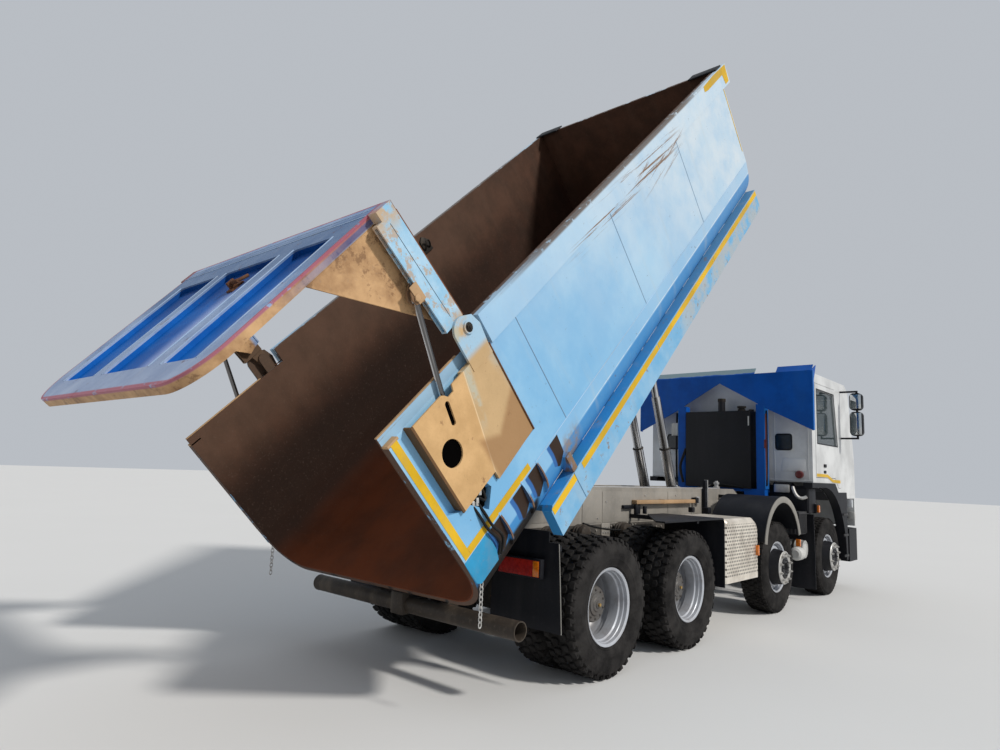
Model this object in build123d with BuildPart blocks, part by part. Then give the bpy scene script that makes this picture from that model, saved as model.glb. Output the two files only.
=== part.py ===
from build123d import *
from math import cos, radians, sin
import os

os.makedirs("parts", exist_ok=True)

# Driving dimensions, in millimetres. +X is forward, +Y is the left side, Z = 0 is the ground.
rear_x = -1901.5          # rearmost axle, from the middle of the whole box
axle_2_3 = 2490.0         # second steered axle to first drive axle
axle_1_2 = 2000.0         # between the steered axles
axle_3_4 = 1380.0         # between the drive axles

tyre_r = 540.0
tyre_half = 155.0
flange_r = 298.0
bead_r = 287.0
rear_tyre_y = 1090.0      # middle of the outer twin tyre
twin_pitch = 345.0
front_tyre_y = 1010.0
kingpin_y = 800.0

rail_y = 430.0            # outer face of the chassis rails
rail_top = 1080.0
rail_depth = 300.0
subframe_top = 1440.0

tilt = 44.0               # bed angle in the rest pose
bed_half = 1250.0
bed_wide = 1275.0         # over the top rails and the cylinder housings
bed_rear = -500.0         # along the floor, from the bed's own origin
bed_front = 5670.0
rail_end = 5830.0
floor_top = 65.0
floor_bottom = 20.0
wall_inner = 1190.0
corner_r = 300.0          # inside radius between floor and wall
wall_top = 1595.0
housing_top = 1394.0
liner_top = 1465.0
hinge_a = 696.0           # bed hinge in the bed's own frame
hinge_b = -200.0
break_b = 480.0           # the side wall turns inwards below this
gusset_a = (-85.0, 204.0, 415.0)

gate_open = 85.0          # tailgate angle in the rest pose
pivot_a = 440.0
pivot_b = 1582.0
gate_outer = 900.0        # outer face of the gate, from its pivot
gate_thick = 62.0
gate_half = 1178.0

cab_rear = 5030.0
cab_front = 7060.0
cab_half = 1215.0
cab_floor = 1440.0
cab_roof = 3090.0
cab_arch = 1570.0         # cab floor above the front wheel arch
arch_end = 6000.0


def vx(x):
    """Row X of a place measured forward from the rearmost axle."""
    return rear_x + x


axle_x = {
    "1": vx(axle_3_4 + axle_2_3 + axle_1_2),
    "2": vx(axle_3_4 + axle_2_3),
    "3": vx(axle_3_4),
    "4": vx(0),
}

# Frames: the bed's own frame has a along the floor and b square to it.
bed_x = Vector(cos(radians(tilt)), 0, sin(radians(tilt)))
bed_z = Vector(-sin(radians(tilt)), 0, cos(radians(tilt)))
bed_origin = Vector(vx(-1000), 0, 1000)


def bed_point(a, b, y=0):
    return bed_origin + bed_x * a + bed_z * b + Vector(0, y, 0)


def side(y):
    """Upright lengthwise plane at this Y, read as (X, Z)."""
    return Plane.XZ.offset(-y)


def bed_side(y):
    """Lengthwise plane of the tilted bed at this Y, read as (a, b)."""
    return Plane(origin=bed_point(0, 0, y), x_dir=bed_x, z_dir=(0, -1, 0))


def bed_section(a):
    """Plane across the tilted bed at a, read as (Y, b), facing forward."""
    return Plane(origin=bed_point(a, 0), x_dir=(0, 1, 0), z_dir=bed_x)


gate_turn = radians(gate_open)
arm_dir = bed_x * -cos(gate_turn) + bed_z * sin(gate_turn)
up_dir = bed_x * sin(gate_turn) + bed_z * cos(gate_turn)
gate_pivot = bed_point(pivot_a, pivot_b)


def gate_side(y):
    """Lengthwise plane of the tailgate at this Y, read as (along the arm, up when shut)."""
    return Plane(origin=gate_pivot + Vector(0, y, 0), x_dir=arm_dir, z_dir=(0, 1, 0))


def gate_face(reach):
    """Plane of the tailgate's panel at this reach from the pivot, read as (-Y, up when shut)."""
    return Plane(origin=gate_pivot + arm_dir * reach, x_dir=(0, -1, 0), z_dir=arm_dir)


def outline(*points):
    """A straight-sided face in the current sketch."""
    Polygon(*points, align=None)


# Chassis frame: two C rails, crossmembers and the rear closing member.
frame_front = vx(6995)
frame_rear = vx(-750)
rail_web = 12.0
rail_flange = 75.0
crossmembers = [vx(x) for x in (-690, 690, 2150, 2750, 4500, 6850)]
hitch_hole_r = 10.5
hitch_holes = (160.0, 100.0)
# Columns: place along the rails, top
cab_mounts = [(vx(5150), cab_arch), (vx(6500), cab_floor)]

with BuildPart() as chassis_frame:
    with BuildSketch(Plane.YZ.offset(frame_rear)):
        outline(
            (rail_y, rail_top), (rail_y - rail_flange, rail_top),
            (rail_y - rail_flange, rail_top - rail_web), (rail_y - rail_web, rail_top - rail_web),
            (rail_y - rail_web, rail_top - rail_depth + rail_web),
            (rail_y - rail_flange, rail_top - rail_depth + rail_web),
            (rail_y - rail_flange, rail_top - rail_depth), (rail_y, rail_top - rail_depth),
        )
        mirror(about=Plane.YZ)
    extrude(amount=frame_front - frame_rear)
    with BuildSketch(Plane.XY.offset(rail_top - rail_depth + 60)):
        for x in crossmembers:
            with Locations((x, 0)):
                Rectangle(90, 2 * rail_y - 2 * rail_web + 2)
    extrude(amount=180)
    with BuildSketch(Plane.YZ.offset(frame_rear)):
        with GridLocations(*hitch_holes, 2, 2):
            with Locations((0, rail_top - rail_depth + 150)):
                Circle(hitch_hole_r)
    extrude(amount=160, mode=Mode.SUBTRACT)
    for x, high in cab_mounts:
        with BuildSketch(Plane.XY.offset(rail_top)):
            for sign in (-1, 1):
                with Locations((x, sign * (rail_y - 37))):
                    Rectangle(120, 74)
        extrude(amount=high - rail_top)
chassis_frame.part.label = "chassis_frame"
export_step(chassis_frame.part, "parts/chassis_frame.step")

# Subframe: deep side plates on the rails, cross ties and the bed's hinge shaft.
subframe_plate = 22.0
subframe_front = vx(4600)
hinge_point = bed_point(hinge_a, hinge_b)
hinge_shaft_r = 32.0
trunnion = Vector(vx(3095), 0, 1150)
trunnion_r = 30.0
with BuildPart() as subframe:
    with BuildSketch(side(rail_y)):
        with BuildLine():
            Polyline(
                (hinge_point.X - 95, hinge_point.Z), (hinge_point.X - 95, rail_top),
                (subframe_front, rail_top), (subframe_front, rail_top + 180),
                (subframe_front - 350, subframe_top), (hinge_point.X, subframe_top),
            )
            ThreePointArc(
                (hinge_point.X, subframe_top),
                (hinge_point.X - 70, hinge_point.Z + 70),
                (hinge_point.X - 95, hinge_point.Z),
            )
        make_face()
    extrude(amount=subframe_plate)
    with BuildSketch(Plane.XY.offset(subframe_top - 30)):
        with Locations(((vx(-100) + subframe_front - 360) / 2, rail_y - 45)):
            Rectangle(subframe_front - 360 - vx(-100), 90)
    extrude(amount=30)
    mirror(about=Plane.XZ)
    with BuildSketch(Plane.XY.offset(rail_top + 10)):
        for x in (vx(250), vx(1380), vx(2400), trunnion.X - 220, trunnion.X + 260, vx(4100)):
            with Locations((x, 0)):
                Rectangle(90, 2 * rail_y - 20)
    extrude(amount=120)
    for y in (80, 276, -96, -292):
        with BuildSketch(side(y)):
            with Locations((trunnion.X + 20, trunnion.Z)):
                Rectangle(400, 120)
            with Locations((trunnion.X, trunnion.Z)):
                Circle(trunnion_r + 1, mode=Mode.SUBTRACT)
        extrude(amount=-16)
    with BuildSketch(side(-rail_y)):
        with Locations((hinge_point.X, hinge_point.Z)):
            Circle(hinge_shaft_r)
    extrude(amount=-2 * rail_y)
subframe.part.label = "subframe"
export_step(subframe.part, "parts/subframe.step")

# Rear underrun tube on two drop brackets.
tube_x = vx(-1055)
tube_z = 500.0
tube_r = 67.0
tube_half = 1185.0
bracket_y = 400.0
with BuildPart() as underrun_bar:
    with BuildSketch(side(-tube_half)):
        with Locations((tube_x, tube_z)):
            Circle(tube_r)
            Circle(tube_r - 8, mode=Mode.SUBTRACT)
    extrude(amount=-2 * tube_half)
    with BuildSketch(side(bracket_y)):
        outline(
            (tube_x + 40, tube_z + 45), (tube_x + 40, tube_z - 45), (frame_rear + 120, 700),
            (frame_rear + 120, 779), (frame_rear - 10, 779), (tube_x + 60, tube_z + 120),
        )
    extrude(amount=30, both=True)
    mirror(about=Plane.XZ)
underrun_bar.part.label = "underrun_bar"
export_step(underrun_bar.part, "parts/underrun_bar.step")

# Engine and gearbox as one plain block at their real place.
with BuildPart() as engine_block:
    with BuildSketch(Plane.XY.offset(700)):
        with Locations((vx(5900), 0)):
            Rectangle(1250, 660)
    extrude(amount=680)
    with BuildSketch(Plane.XY.offset(740)):
        with Locations((vx(4950), 0)):
            Rectangle(700, 420)
    extrude(amount=420)
engine_block.part.label = "engine_block"
export_step(engine_block.part, "parts/engine_block.step")

# Steered axle beams with an eye for each kingpin.
eye_r = 52.0
eye_half = 70.0
kingpin_r = 22.0
with BuildPart() as front_axles:
    for name in ("1", "2"):
        with BuildSketch(side(0)):
            with Locations((axle_x[name], tyre_r - 60)):
                Rectangle(110, 120)
        extrude(amount=kingpin_y - 140, both=True)
        for sign in (-1, 1):
            with BuildSketch(Plane.XY.offset(tyre_r - eye_half)):
                with Locations((axle_x[name], sign * kingpin_y)):
                    Circle(eye_r)
                with Locations((axle_x[name], sign * (kingpin_y - 90))):
                    Rectangle(80, 180)
                with Locations((axle_x[name], sign * kingpin_y)):
                    Circle(kingpin_r + 1, mode=Mode.SUBTRACT)
            extrude(amount=2 * eye_half)
front_axles.part.label = "front_axles"
export_step(front_axles.part, "parts/front_axles.step")

# Drive axles: tube, differential bowl and spindles.
spindle_r = 55.0
with BuildPart() as rear_axles:
    for name in ("3", "4"):
        with BuildSketch(side(0)):
            with Locations((axle_x[name], tyre_r)):
                Circle(80)
        extrude(amount=560, both=True)
        with BuildSketch(side(0)):
            with Locations((axle_x[name], tyre_r)):
                Circle(spindle_r)
        extrude(amount=930, both=True)
        with BuildSketch(Plane(origin=(axle_x[name], 0, tyre_r), x_dir=(0, 1, 0), z_dir=(1, 0, 0))):
            outline((-230, 0), (-230, 105), (-110, 205), (110, 205), (230, 105), (230, 0))
        revolve(axis=Axis((axle_x[name], 0, tyre_r), (0, 1, 0)))
rear_axles.part.label = "rear_axles"
export_step(rear_axles.part, "parts/rear_axles.step")

# Leaf springs: one pack a side on each steered axle, one inverted pack a side on the bogie.
spring_y = 395.0
with BuildPart() as springs:
    for name in ("1", "2"):
        with BuildSketch(side(spring_y)):
            with BuildLine():
                ThreePointArc((axle_x[name] - 800, 745), (axle_x[name], 540), (axle_x[name] + 800, 745))
                Line((axle_x[name] + 800, 745), (axle_x[name] + 780, 780))
                ThreePointArc((axle_x[name] + 780, 780), (axle_x[name], 640), (axle_x[name] - 780, 780))
                Line((axle_x[name] - 780, 780), (axle_x[name] - 800, 745))
            make_face()
        extrude(amount=38, both=True)
    bogie_x = (axle_x["3"] + axle_x["4"]) / 2
    with BuildSketch(side(spring_y)):
        with BuildLine():
            ThreePointArc((axle_x["4"], 620), (bogie_x, 700), (axle_x["3"], 620))
            Line((axle_x["3"], 620), (axle_x["3"], 650))
            ThreePointArc((axle_x["3"], 650), (bogie_x, 780), (axle_x["4"], 650))
            Line((axle_x["4"], 650), (axle_x["4"], 620))
        make_face()
    extrude(amount=45, both=True)
    mirror(about=Plane.XZ)
springs.part.label = "springs"
export_step(springs.part, "parts/springs.step")

# Mudguards: flat covers over the drive wheels, arches over the second axle, rear flaps.
guard_in = 560.0
guard_out = 1235.0
arch_x = vx(3800)
arch_z = 770.0
arch_r = 600.0
flap_x = vx(-672)
with BuildPart() as mudguards:
    with BuildSketch(side(guard_in)):
        outline(
            (vx(850), 1160), (vx(2075), 1160), (vx(2100), 1135), (vx(2105), 480), (vx(2118), 480),
            (vx(2114), 1142), (vx(2080), 1174), (vx(850), 1174),
        )
    extrude(amount=guard_in - guard_out)
    with BuildSketch(Plane.XY.offset(1150)):
        outline((vx(840), 550), (vx(1750), 550), (vx(840), 1150))
    extrude(amount=40, mode=Mode.SUBTRACT)
    with BuildSketch(side(guard_in)):
        with BuildLine():
            CenterArc((arch_x, arch_z), arch_r, 20, 150)
            CenterArc((arch_x, arch_z), arch_r + 18, 20, 150)
            for angle in (20, 170):
                c = cos(radians(angle))
                s = sin(radians(angle))
                Line(
                    (arch_x + arch_r * c, arch_z + arch_r * s),
                    (arch_x + (arch_r + 18) * c, arch_z + (arch_r + 18) * s),
                )
        make_face()
    extrude(amount=guard_in - guard_out)
    with BuildSketch(Plane.YZ.offset(flap_x)):
        outline((560, 430), (1240, 430), (1225, 700), (1200, 1060), (1110, 1060), (1110, 1140), (560, 1140))
    extrude(amount=12)
    with BuildSketch(Plane.YZ.offset(vx(5125))):
        outline((470, 1140), (1180, 1140), (1190, 600), (1190, 150), (830, 150), (830, 1090), (470, 1090))
    extrude(amount=12)
    for x, z in ((vx(1600), 1150), (arch_x, arch_z + arch_r - 20), (flap_x + 32, 1020)):
        with BuildSketch(side(rail_y)):
            with Locations((x, z)):
                Rectangle(40, 40)
        extrude(amount=-760)
    mirror(about=Plane.XZ)
mudguards.part.label = "mudguards"
export_step(mudguards.part, "parts/mudguards.step")

# Perforated silencer cover on the right, rounded over its top corners.
cover_rear = vx(2170)
cover_front = vx(3050)
cover_low = 505.0
cover_high = 1158.0
with BuildPart() as silencer_cover:
    with BuildSketch(side(-625)):
        with BuildLine():
            Line((cover_rear, cover_low), (cover_rear, cover_high - 50))
            ThreePointArc((cover_rear, cover_high - 50), (cover_rear + 15, cover_high - 15),
                          (cover_rear + 50, cover_high))
            Line((cover_rear + 50, cover_high), (cover_front - 180, cover_high))
            ThreePointArc((cover_front - 180, cover_high), (cover_front - 53, cover_high - 53),
                          (cover_front, cover_high - 180))
            Polyline((cover_front, cover_high - 180), (cover_front, cover_low), (cover_rear, cover_low))
        make_face()
    extrude(amount=595)
    chamfer(silencer_cover.edges().filter_by(Axis.Z).group_by(Axis.Y)[0], 30)
    with BuildSketch(side(-rail_y)):
        with Locations((vx(2350), 900), (vx(2850), 900)):
            Rectangle(60, 100)
    extrude(amount=260)
silencer_cover.part.label = "silencer_cover"
export_step(silencer_cover.part, "parts/silencer_cover.step")

# Fuel tank on the left, air tanks on the right.
with BuildPart() as side_tanks:
    with BuildSketch(side(1180)):
        with Locations((vx(2650), 800)):
            RectangleRounded(1000, 620, 120)
    extrude(amount=620)
    with BuildSketch(side(rail_y)):
        with Locations((vx(2300), 900), (vx(2850), 900)):
            Rectangle(60, 100)
    extrude(amount=-200)
    with BuildSketch(side(-620)):
        with Locations((vx(4880), 690)):
            Circle(115)
    extrude(amount=520)
    with BuildSketch(side(-rail_y)):
        with Locations((vx(4880), 795)):
            Rectangle(60, 50)
    extrude(amount=250)
side_tanks.part.label = "side_tanks"
export_step(side_tanks.part, "parts/side_tanks.step")

# Battery box between the steered axles.
with BuildPart() as battery_box:
    with BuildSketch(Plane.XY.offset(885)):
        with Locations((vx(4830), -885)):
            Rectangle(300, 470)
    extrude(amount=290)
    with BuildSketch(side(-rail_y)):
        with Locations((vx(4830), 1000)):
            Rectangle(120, 100)
    extrude(amount=230)
battery_box.part.label = "battery_box"
export_step(battery_box.part, "parts/battery_box.step")

# Hydraulic oil tank standing behind the cab.
tank_low = 1450.0
tank_high = 2550.0
with BuildPart() as hydraulic_tank:
    with BuildSketch(Plane.XY.offset(tank_low)):
        with Locations((vx(4880), 20)):
            Rectangle(240, 980)
    extrude(amount=tank_high - tank_low)
    with BuildSketch(Plane.XY.offset(tank_high)):
        with Locations((vx(4880), 0)):
            Circle(50)
    extrude(amount=170)
hydraulic_tank.part.label = "hydraulic_tank"
export_step(hydraulic_tank.part, "parts/hydraulic_tank.step")

# Cab guard: a gabled cross panel on two posts, with side returns and a deflector lip.
guard_x = vx(4800)
guard_half = 1300.0
guard_top = 3080.0
post_y = 590.0
post_wide = 110.0
# Columns: left end, width
lips = [(1295, 1810), (-820, 475)]
with BuildPart() as cab_guard:
    with BuildSketch(Plane.YZ.offset(guard_x)):
        outline(
            (-guard_half, 2265), (-post_y - 60, 2590), (-post_y + 60, 2665), (0, 2965),
            (post_y - 60, 2665), (post_y + 60, 2590), (guard_half, 2265),
            (guard_half, guard_top), (-guard_half, guard_top),
        )
    extrude(amount=12)
    for sign in (-1, 1):
        with BuildSketch(Plane.XY.offset(tank_low - 40)):
            with Locations((guard_x + 70, sign * post_y)):
                Rectangle(140, post_wide)
        extrude(amount=2640 - tank_low + 40)
        with BuildSketch(Plane.XY.offset(rail_top)):
            with Locations((guard_x + 70, sign * (rail_y + 70))):
                Rectangle(140, 290)
        extrude(amount=tank_low - 40 - rail_top)
        with BuildSketch(side(sign * guard_half)):
            outline(
                (guard_x, 2265), (guard_x + 40, 2265), (guard_x + 60, 2900),
                (guard_x + 180, guard_top + 90), (guard_x, guard_top),
            )
        extrude(amount=sign * 12)
    for y, wide in lips:
        with BuildSketch(side(y)):
            outline(
                (guard_x + 2, guard_top - 40), (guard_x + 2, guard_top), (guard_x + 80, guard_top + 88),
                (guard_x + 88, guard_top + 82), (guard_x + 14, guard_top - 4), (guard_x + 14, guard_top - 40),
            )
        extrude(amount=wide)
    with BuildSketch(Plane.XY.offset(tank_low - 40)):
        with Locations((guard_x + 90, 0)):
            Rectangle(180, 2 * post_y + post_wide)
    extrude(amount=40)
cab_guard.part.label = "cab_guard"
export_step(cab_guard.part, "parts/cab_guard.step")

# Cab shell: a hollow body with windscreen, rear window and door openings.
wall = 50.0
skirt_low = 930.0
door_rear = vx(5170)
door_front = vx(6300)
door_low = 1500.0
door_high = 2960.0
with BuildPart() as cab_shell:
    with BuildSketch(side(0)):
        with BuildLine():
            Polyline(
                (vx(cab_rear), cab_arch), (vx(cab_rear), cab_roof - 60), (vx(cab_rear + 120), cab_roof),
                (vx(cab_front - 420), cab_roof), (vx(cab_front - 260), cab_roof - 120),
                (vx(cab_front - 40), 2150), (vx(cab_front), 1900), (vx(cab_front), skirt_low),
                (vx(cab_front - 60), skirt_low), (vx(cab_front - 60), cab_floor - 90),
                (vx(cab_front - 440), cab_floor - 90), (vx(cab_front - 480), cab_floor),
                (vx(arch_end + 150), cab_floor), (vx(arch_end), cab_arch), close=True,
            )
        make_face()
    extrude(amount=cab_half, both=True)
    with BuildSketch(side(0)):
        with BuildLine():
            Polyline(
                (vx(cab_rear) + wall, cab_arch + wall), (vx(cab_rear) + wall, cab_roof - 60 - wall),
                (vx(cab_rear + 120), cab_roof - wall), (vx(cab_front - 440), cab_roof - wall),
                (vx(cab_front - 300), cab_roof - 140), (vx(cab_front - 90), 2140),
                (vx(cab_front) - wall, 1900), (vx(cab_front) - wall, cab_floor + wall),
                (vx(arch_end + 170), cab_floor + wall), (vx(arch_end + 20), cab_arch + wall), close=True,
            )
        make_face()
    extrude(amount=cab_half - wall, both=True, mode=Mode.SUBTRACT)
    with BuildSketch(side(0)):
        outline(
            (door_rear, cab_arch + 70), (door_rear, door_high), (door_front - 200, door_high),
            (door_front, 2100), (door_front, door_low), (vx(arch_end + 190), door_low),
            (vx(arch_end + 40), cab_arch + 70),
        )
    extrude(amount=cab_half + 10, both=True, mode=Mode.SUBTRACT)
    with BuildSketch(Plane.YZ.offset(vx(cab_front - 400))):
        with Locations((0, 2520)):
            RectangleRounded(2 * cab_half - 260, 740, 80)
    extrude(amount=500, mode=Mode.SUBTRACT)
    with BuildSketch(Plane.YZ.offset(vx(cab_rear) - 10)):
        for sign in (-1, 1):
            with Locations((sign * 837, 2120)):
                RectangleRounded(182, 206, 30)
    extrude(amount=wall + 20, mode=Mode.SUBTRACT)
cab_shell.part.label = "cab_shell"
export_step(cab_shell.part, "parts/cab_shell.step")

# Doors with a window opening, and their glass.
door_thick = 48.0
door_gap = 7.0
for name, sign in (("right", -1), ("left", 1)):
    with BuildPart() as door:
        with BuildSketch(side(sign * (cab_half + 2))):
            outline(
                (door_rear + door_gap, cab_arch + 70 + door_gap), (door_rear + door_gap, door_high - door_gap),
                (door_front - 200 - door_gap, door_high - door_gap), (door_front - door_gap, 2098),
                (door_front - door_gap, door_low + door_gap), (vx(arch_end + 194), door_low + door_gap),
                (vx(arch_end + 44), cab_arch + 70 + door_gap),
            )
            outline(
                (door_rear + 80, 2120), (door_rear + 80, door_high - 90),
                (door_front - 260, door_high - 90), (door_front - 110, 2120),
            )
        extrude(amount=sign * door_thick)
        with BuildSketch(side(sign * (cab_half + 12))):
            outline(
                (door_rear + 80, 2120), (door_rear + 80, door_high - 90),
                (door_front - 260, door_high - 90), (door_front - 110, 2120),
            )
        extrude(amount=sign * (door_thick + 20), mode=Mode.SUBTRACT)
    door.part.label = f"door_{name}"
    export_step(door.part, f"parts/door_{name}.step")
    with BuildPart() as pane:
        with BuildSketch(side(sign * (cab_half - 18))):
            outline(
                (door_rear + 82, 2122), (door_rear + 82, door_high - 92),
                (door_front - 261, door_high - 92), (door_front - 113, 2122),
            )
        extrude(amount=sign * 6)
    pane.part.label = f"door_glass_{name}"
    export_step(pane.part, f"parts/door_glass_{name}.step")

# Windscreen and rear panes.
with BuildPart() as cab_glass:
    with BuildSketch(side(0)):
        outline(
            (vx(cab_front - 272), cab_roof - 205), (vx(cab_front - 282), cab_roof - 207),
            (vx(cab_front - 91), 2160), (vx(cab_front - 81), 2160),
        )
    extrude(amount=cab_half - 140, both=True)
    with BuildSketch(Plane.YZ.offset(vx(cab_front - 400))):
        with Locations((0, 2520)):
            RectangleRounded(2 * cab_half - 270, 730, 78)
    extrude(amount=500, mode=Mode.INTERSECT)
    with BuildSketch(Plane.YZ.offset(vx(cab_rear) + 20)):
        for sign in (-1, 1):
            with Locations((sign * 837, 2120)):
                RectangleRounded(180, 204, 30)
    extrude(amount=6)
cab_glass.part.label = "cab_glass"
export_step(cab_glass.part, "parts/cab_glass.step")

# Front bumper and its corner steps.
lamp_wide = 330.0
lamp_high = 170.0
with BuildPart() as front_bumper:
    with BuildSketch(Plane.XY.offset(420)):
        with BuildLine():
            Polyline(
                (vx(6600), 1235), (vx(7000), 1235), (vx(7210), 1000), (vx(7250), 500),
                (vx(7250), -500), (vx(7210), -1000), (vx(7000), -1235), (vx(6600), -1235),
                (vx(6600), -1100), (vx(6960), -1100), (vx(6995), -900), (vx(6995), 900),
                (vx(6960), 1100), (vx(6600), 1100), close=True,
            )
        make_face()
    extrude(amount=480)
    with BuildSketch(Plane.YZ.offset(vx(7190))):
        for sign in (-1, 1):
            with Locations((sign * 800, 700)):
                RectangleRounded(lamp_wide + 4, lamp_high + 4, 42)
    extrude(amount=100, mode=Mode.SUBTRACT)
front_bumper.part.label = "front_bumper"
export_step(front_bumper.part, "parts/front_bumper.step")

# Grille below the windscreen.
with BuildPart() as grille:
    with BuildSketch(Plane.YZ.offset(vx(cab_front))):
        with Locations((0, 1480)):
            RectangleRounded(1700, 560, 60)
    extrude(amount=30)
grille.part.label = "grille"
export_step(grille.part, "parts/grille.step")

# Lamps: head lamps, tail lamps and side markers.
with BuildPart() as lamps:
    for sign in (-1, 1):
        with BuildSketch(Plane.YZ.offset(vx(7190))):
            with Locations((sign * 800, 700)):
                RectangleRounded(lamp_wide, lamp_high, 40)
        extrude(amount=50)
        with BuildSketch(Plane.YZ.offset(flap_x)):
            with Locations((sign * 875, 865)):
                Rectangle(390, 115)
        extrude(amount=-60)
lamps.part.label = "lamps"
export_step(lamps.part, "parts/lamps.step")

# Wheel arch and entry steps under each door, with the arch's inner liner.
with BuildPart() as cab_steps:
    for sign in (-1, 1):
        with BuildSketch(side(sign * 1225)):
            with BuildLine():
                Polyline(
                    (vx(4965), 1500), (vx(4965), cab_arch), (vx(arch_end), cab_arch),
                    (vx(arch_end + 150), cab_floor), (vx(6565), cab_floor), (vx(6565), 450), (vx(6480), 450),
                )
                ThreePointArc((vx(6480), 450), (vx(6195), 1225), (vx(5450), 1505))
                Line((vx(5450), 1505), (vx(4965), 1500))
            make_face()
        extrude(amount=sign * 120)
        with BuildSketch(side(sign * 1106)):
            outline(
                (vx(4965), 1500), (vx(5450), 1505), (vx(5800), 1440), (vx(6060), 1320), (vx(6068), 1336),
                (vx(5808), 1456), (vx(5452), 1521), (vx(4965), 1516),
            )
        extrude(amount=sign * 500)
cab_steps.part.label = "cab_steps"
export_step(cab_steps.part, "parts/cab_steps.step")

# Mirrors on their arms.
mirror_x = vx(6350)
mirror_y = 1452.5
mirror_wide = 175.0
mirror_arm = 26.0
with BuildPart() as mirrors:
    for low, high in ((2285, 2645), (2668, 2925)):
        with BuildSketch(Plane.YZ.offset(mirror_x - 40)):
            with Locations((-mirror_y, (low + high) / 2)):
                RectangleRounded(mirror_wide, high - low, 60)
        extrude(amount=85)
    with BuildSketch(Plane.YZ.offset(mirror_x + 20)):
        for z in (2250, 2955):
            with Locations((-(mirror_y + mirror_arm / 2 + cab_half) / 2, z)):
                Rectangle(mirror_y + mirror_arm / 2 - cab_half, mirror_arm)
        with Locations((-mirror_y, (2250 + 2955) / 2)):
            Rectangle(mirror_arm, 2955 - 2250 + mirror_arm)
    extrude(amount=mirror_arm)
    mirror(about=Plane.XZ)
mirrors.part.label = "mirrors"
export_step(mirrors.part, "parts/mirrors.step")

# Seats and dashboard.
with BuildPart() as seats:
    for sign in (-1, 1):
        with BuildSketch(side(sign * 560 + 250)):
            outline(
                (vx(5450), cab_arch + wall), (vx(6000), cab_arch + wall), (vx(6000), 1990), (vx(5520), 1950),
                (vx(5380), 2750), (vx(5260), 2740), (vx(5380), 1900),
            )
        extrude(amount=500)
seats.part.label = "seats"
export_step(seats.part, "parts/seats.step")

with BuildPart() as dashboard:
    with BuildSketch(side(1150)):
        outline(
            (vx(6600), cab_floor + wall), (vx(cab_front) - wall, cab_floor + wall),
            (vx(cab_front) - wall, 1900), (vx(6950), 2090), (vx(6700), 2110), (vx(6520), 1950),
        )
    extrude(amount=2300)
dashboard.part.label = "dashboard"
export_step(dashboard.part, "parts/dashboard.step")

# Knuckles: a fork round each axle eye, its kingpin and the wheel's spindle.
front_spindle_r = 38.0
for name in ("1", "2"):
    for hand, sign in (("left", 1), ("right", -1)):
        with BuildPart() as knuckle:
            with BuildSketch(Plane.XY.offset(tyre_r - eye_half - 34)):
                with Locations((axle_x[name], sign * kingpin_y)):
                    Circle(eye_r)
            extrude(amount=30)
            with BuildSketch(Plane.XY.offset(tyre_r + eye_half + 4)):
                with Locations((axle_x[name], sign * kingpin_y)):
                    Circle(eye_r)
            extrude(amount=30)
            with BuildSketch(Plane.XY.offset(tyre_r - eye_half - 34)):
                with Locations((axle_x[name], sign * kingpin_y)):
                    Circle(kingpin_r)
            extrude(amount=2 * eye_half + 68)
            with BuildSketch(Plane.XY.offset(tyre_r - eye_half - 34)):
                with Locations((axle_x[name], sign * (kingpin_y + 72))):
                    Rectangle(104, 30)
                with Locations((axle_x[name], sign * (kingpin_y + 40))):
                    Rectangle(104, 60)
            extrude(amount=30)
            with BuildSketch(Plane.XY.offset(tyre_r + eye_half + 4)):
                with Locations((axle_x[name], sign * (kingpin_y + 40))):
                    Rectangle(104, 60)
            extrude(amount=30)
            with BuildSketch(Plane.XY.offset(tyre_r - eye_half - 34)):
                with Locations((axle_x[name], sign * (kingpin_y + 72))):
                    Rectangle(104, 30)
            extrude(amount=2 * eye_half + 68)
            with BuildSketch(side(sign * (kingpin_y + 80))):
                with Locations((axle_x[name], tyre_r)):
                    Circle(front_spindle_r)
            extrude(amount=-sign * 180)
        knuckle.part.label = f"knuckle_{name}_{hand}"
        export_step(knuckle.part, f"parts/knuckle_{name}_{hand}.step")

# Wheels. Local x runs outwards along the axle, local y is the radius.
rim_half = 122.0
rim_barrel = [
    (-rim_half, flange_r), (-112, flange_r), (-112, bead_r - 1), (112, bead_r - 1), (112, flange_r),
    (rim_half, flange_r), (rim_half, 272), (-rim_half, 272),
]
dish = [(-108, 280), (-92, 275), (-150, 200), (-160, 125), (-172.5, 125), (-172.5, 205)]


def wheel_plane(x, y, sign):
    """Plane through a wheel's axle: local x outwards, local y up."""
    return Plane(origin=(x, sign * y, tyre_r), x_dir=(0, sign, 0), z_dir=(sign, 0, 0))


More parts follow.
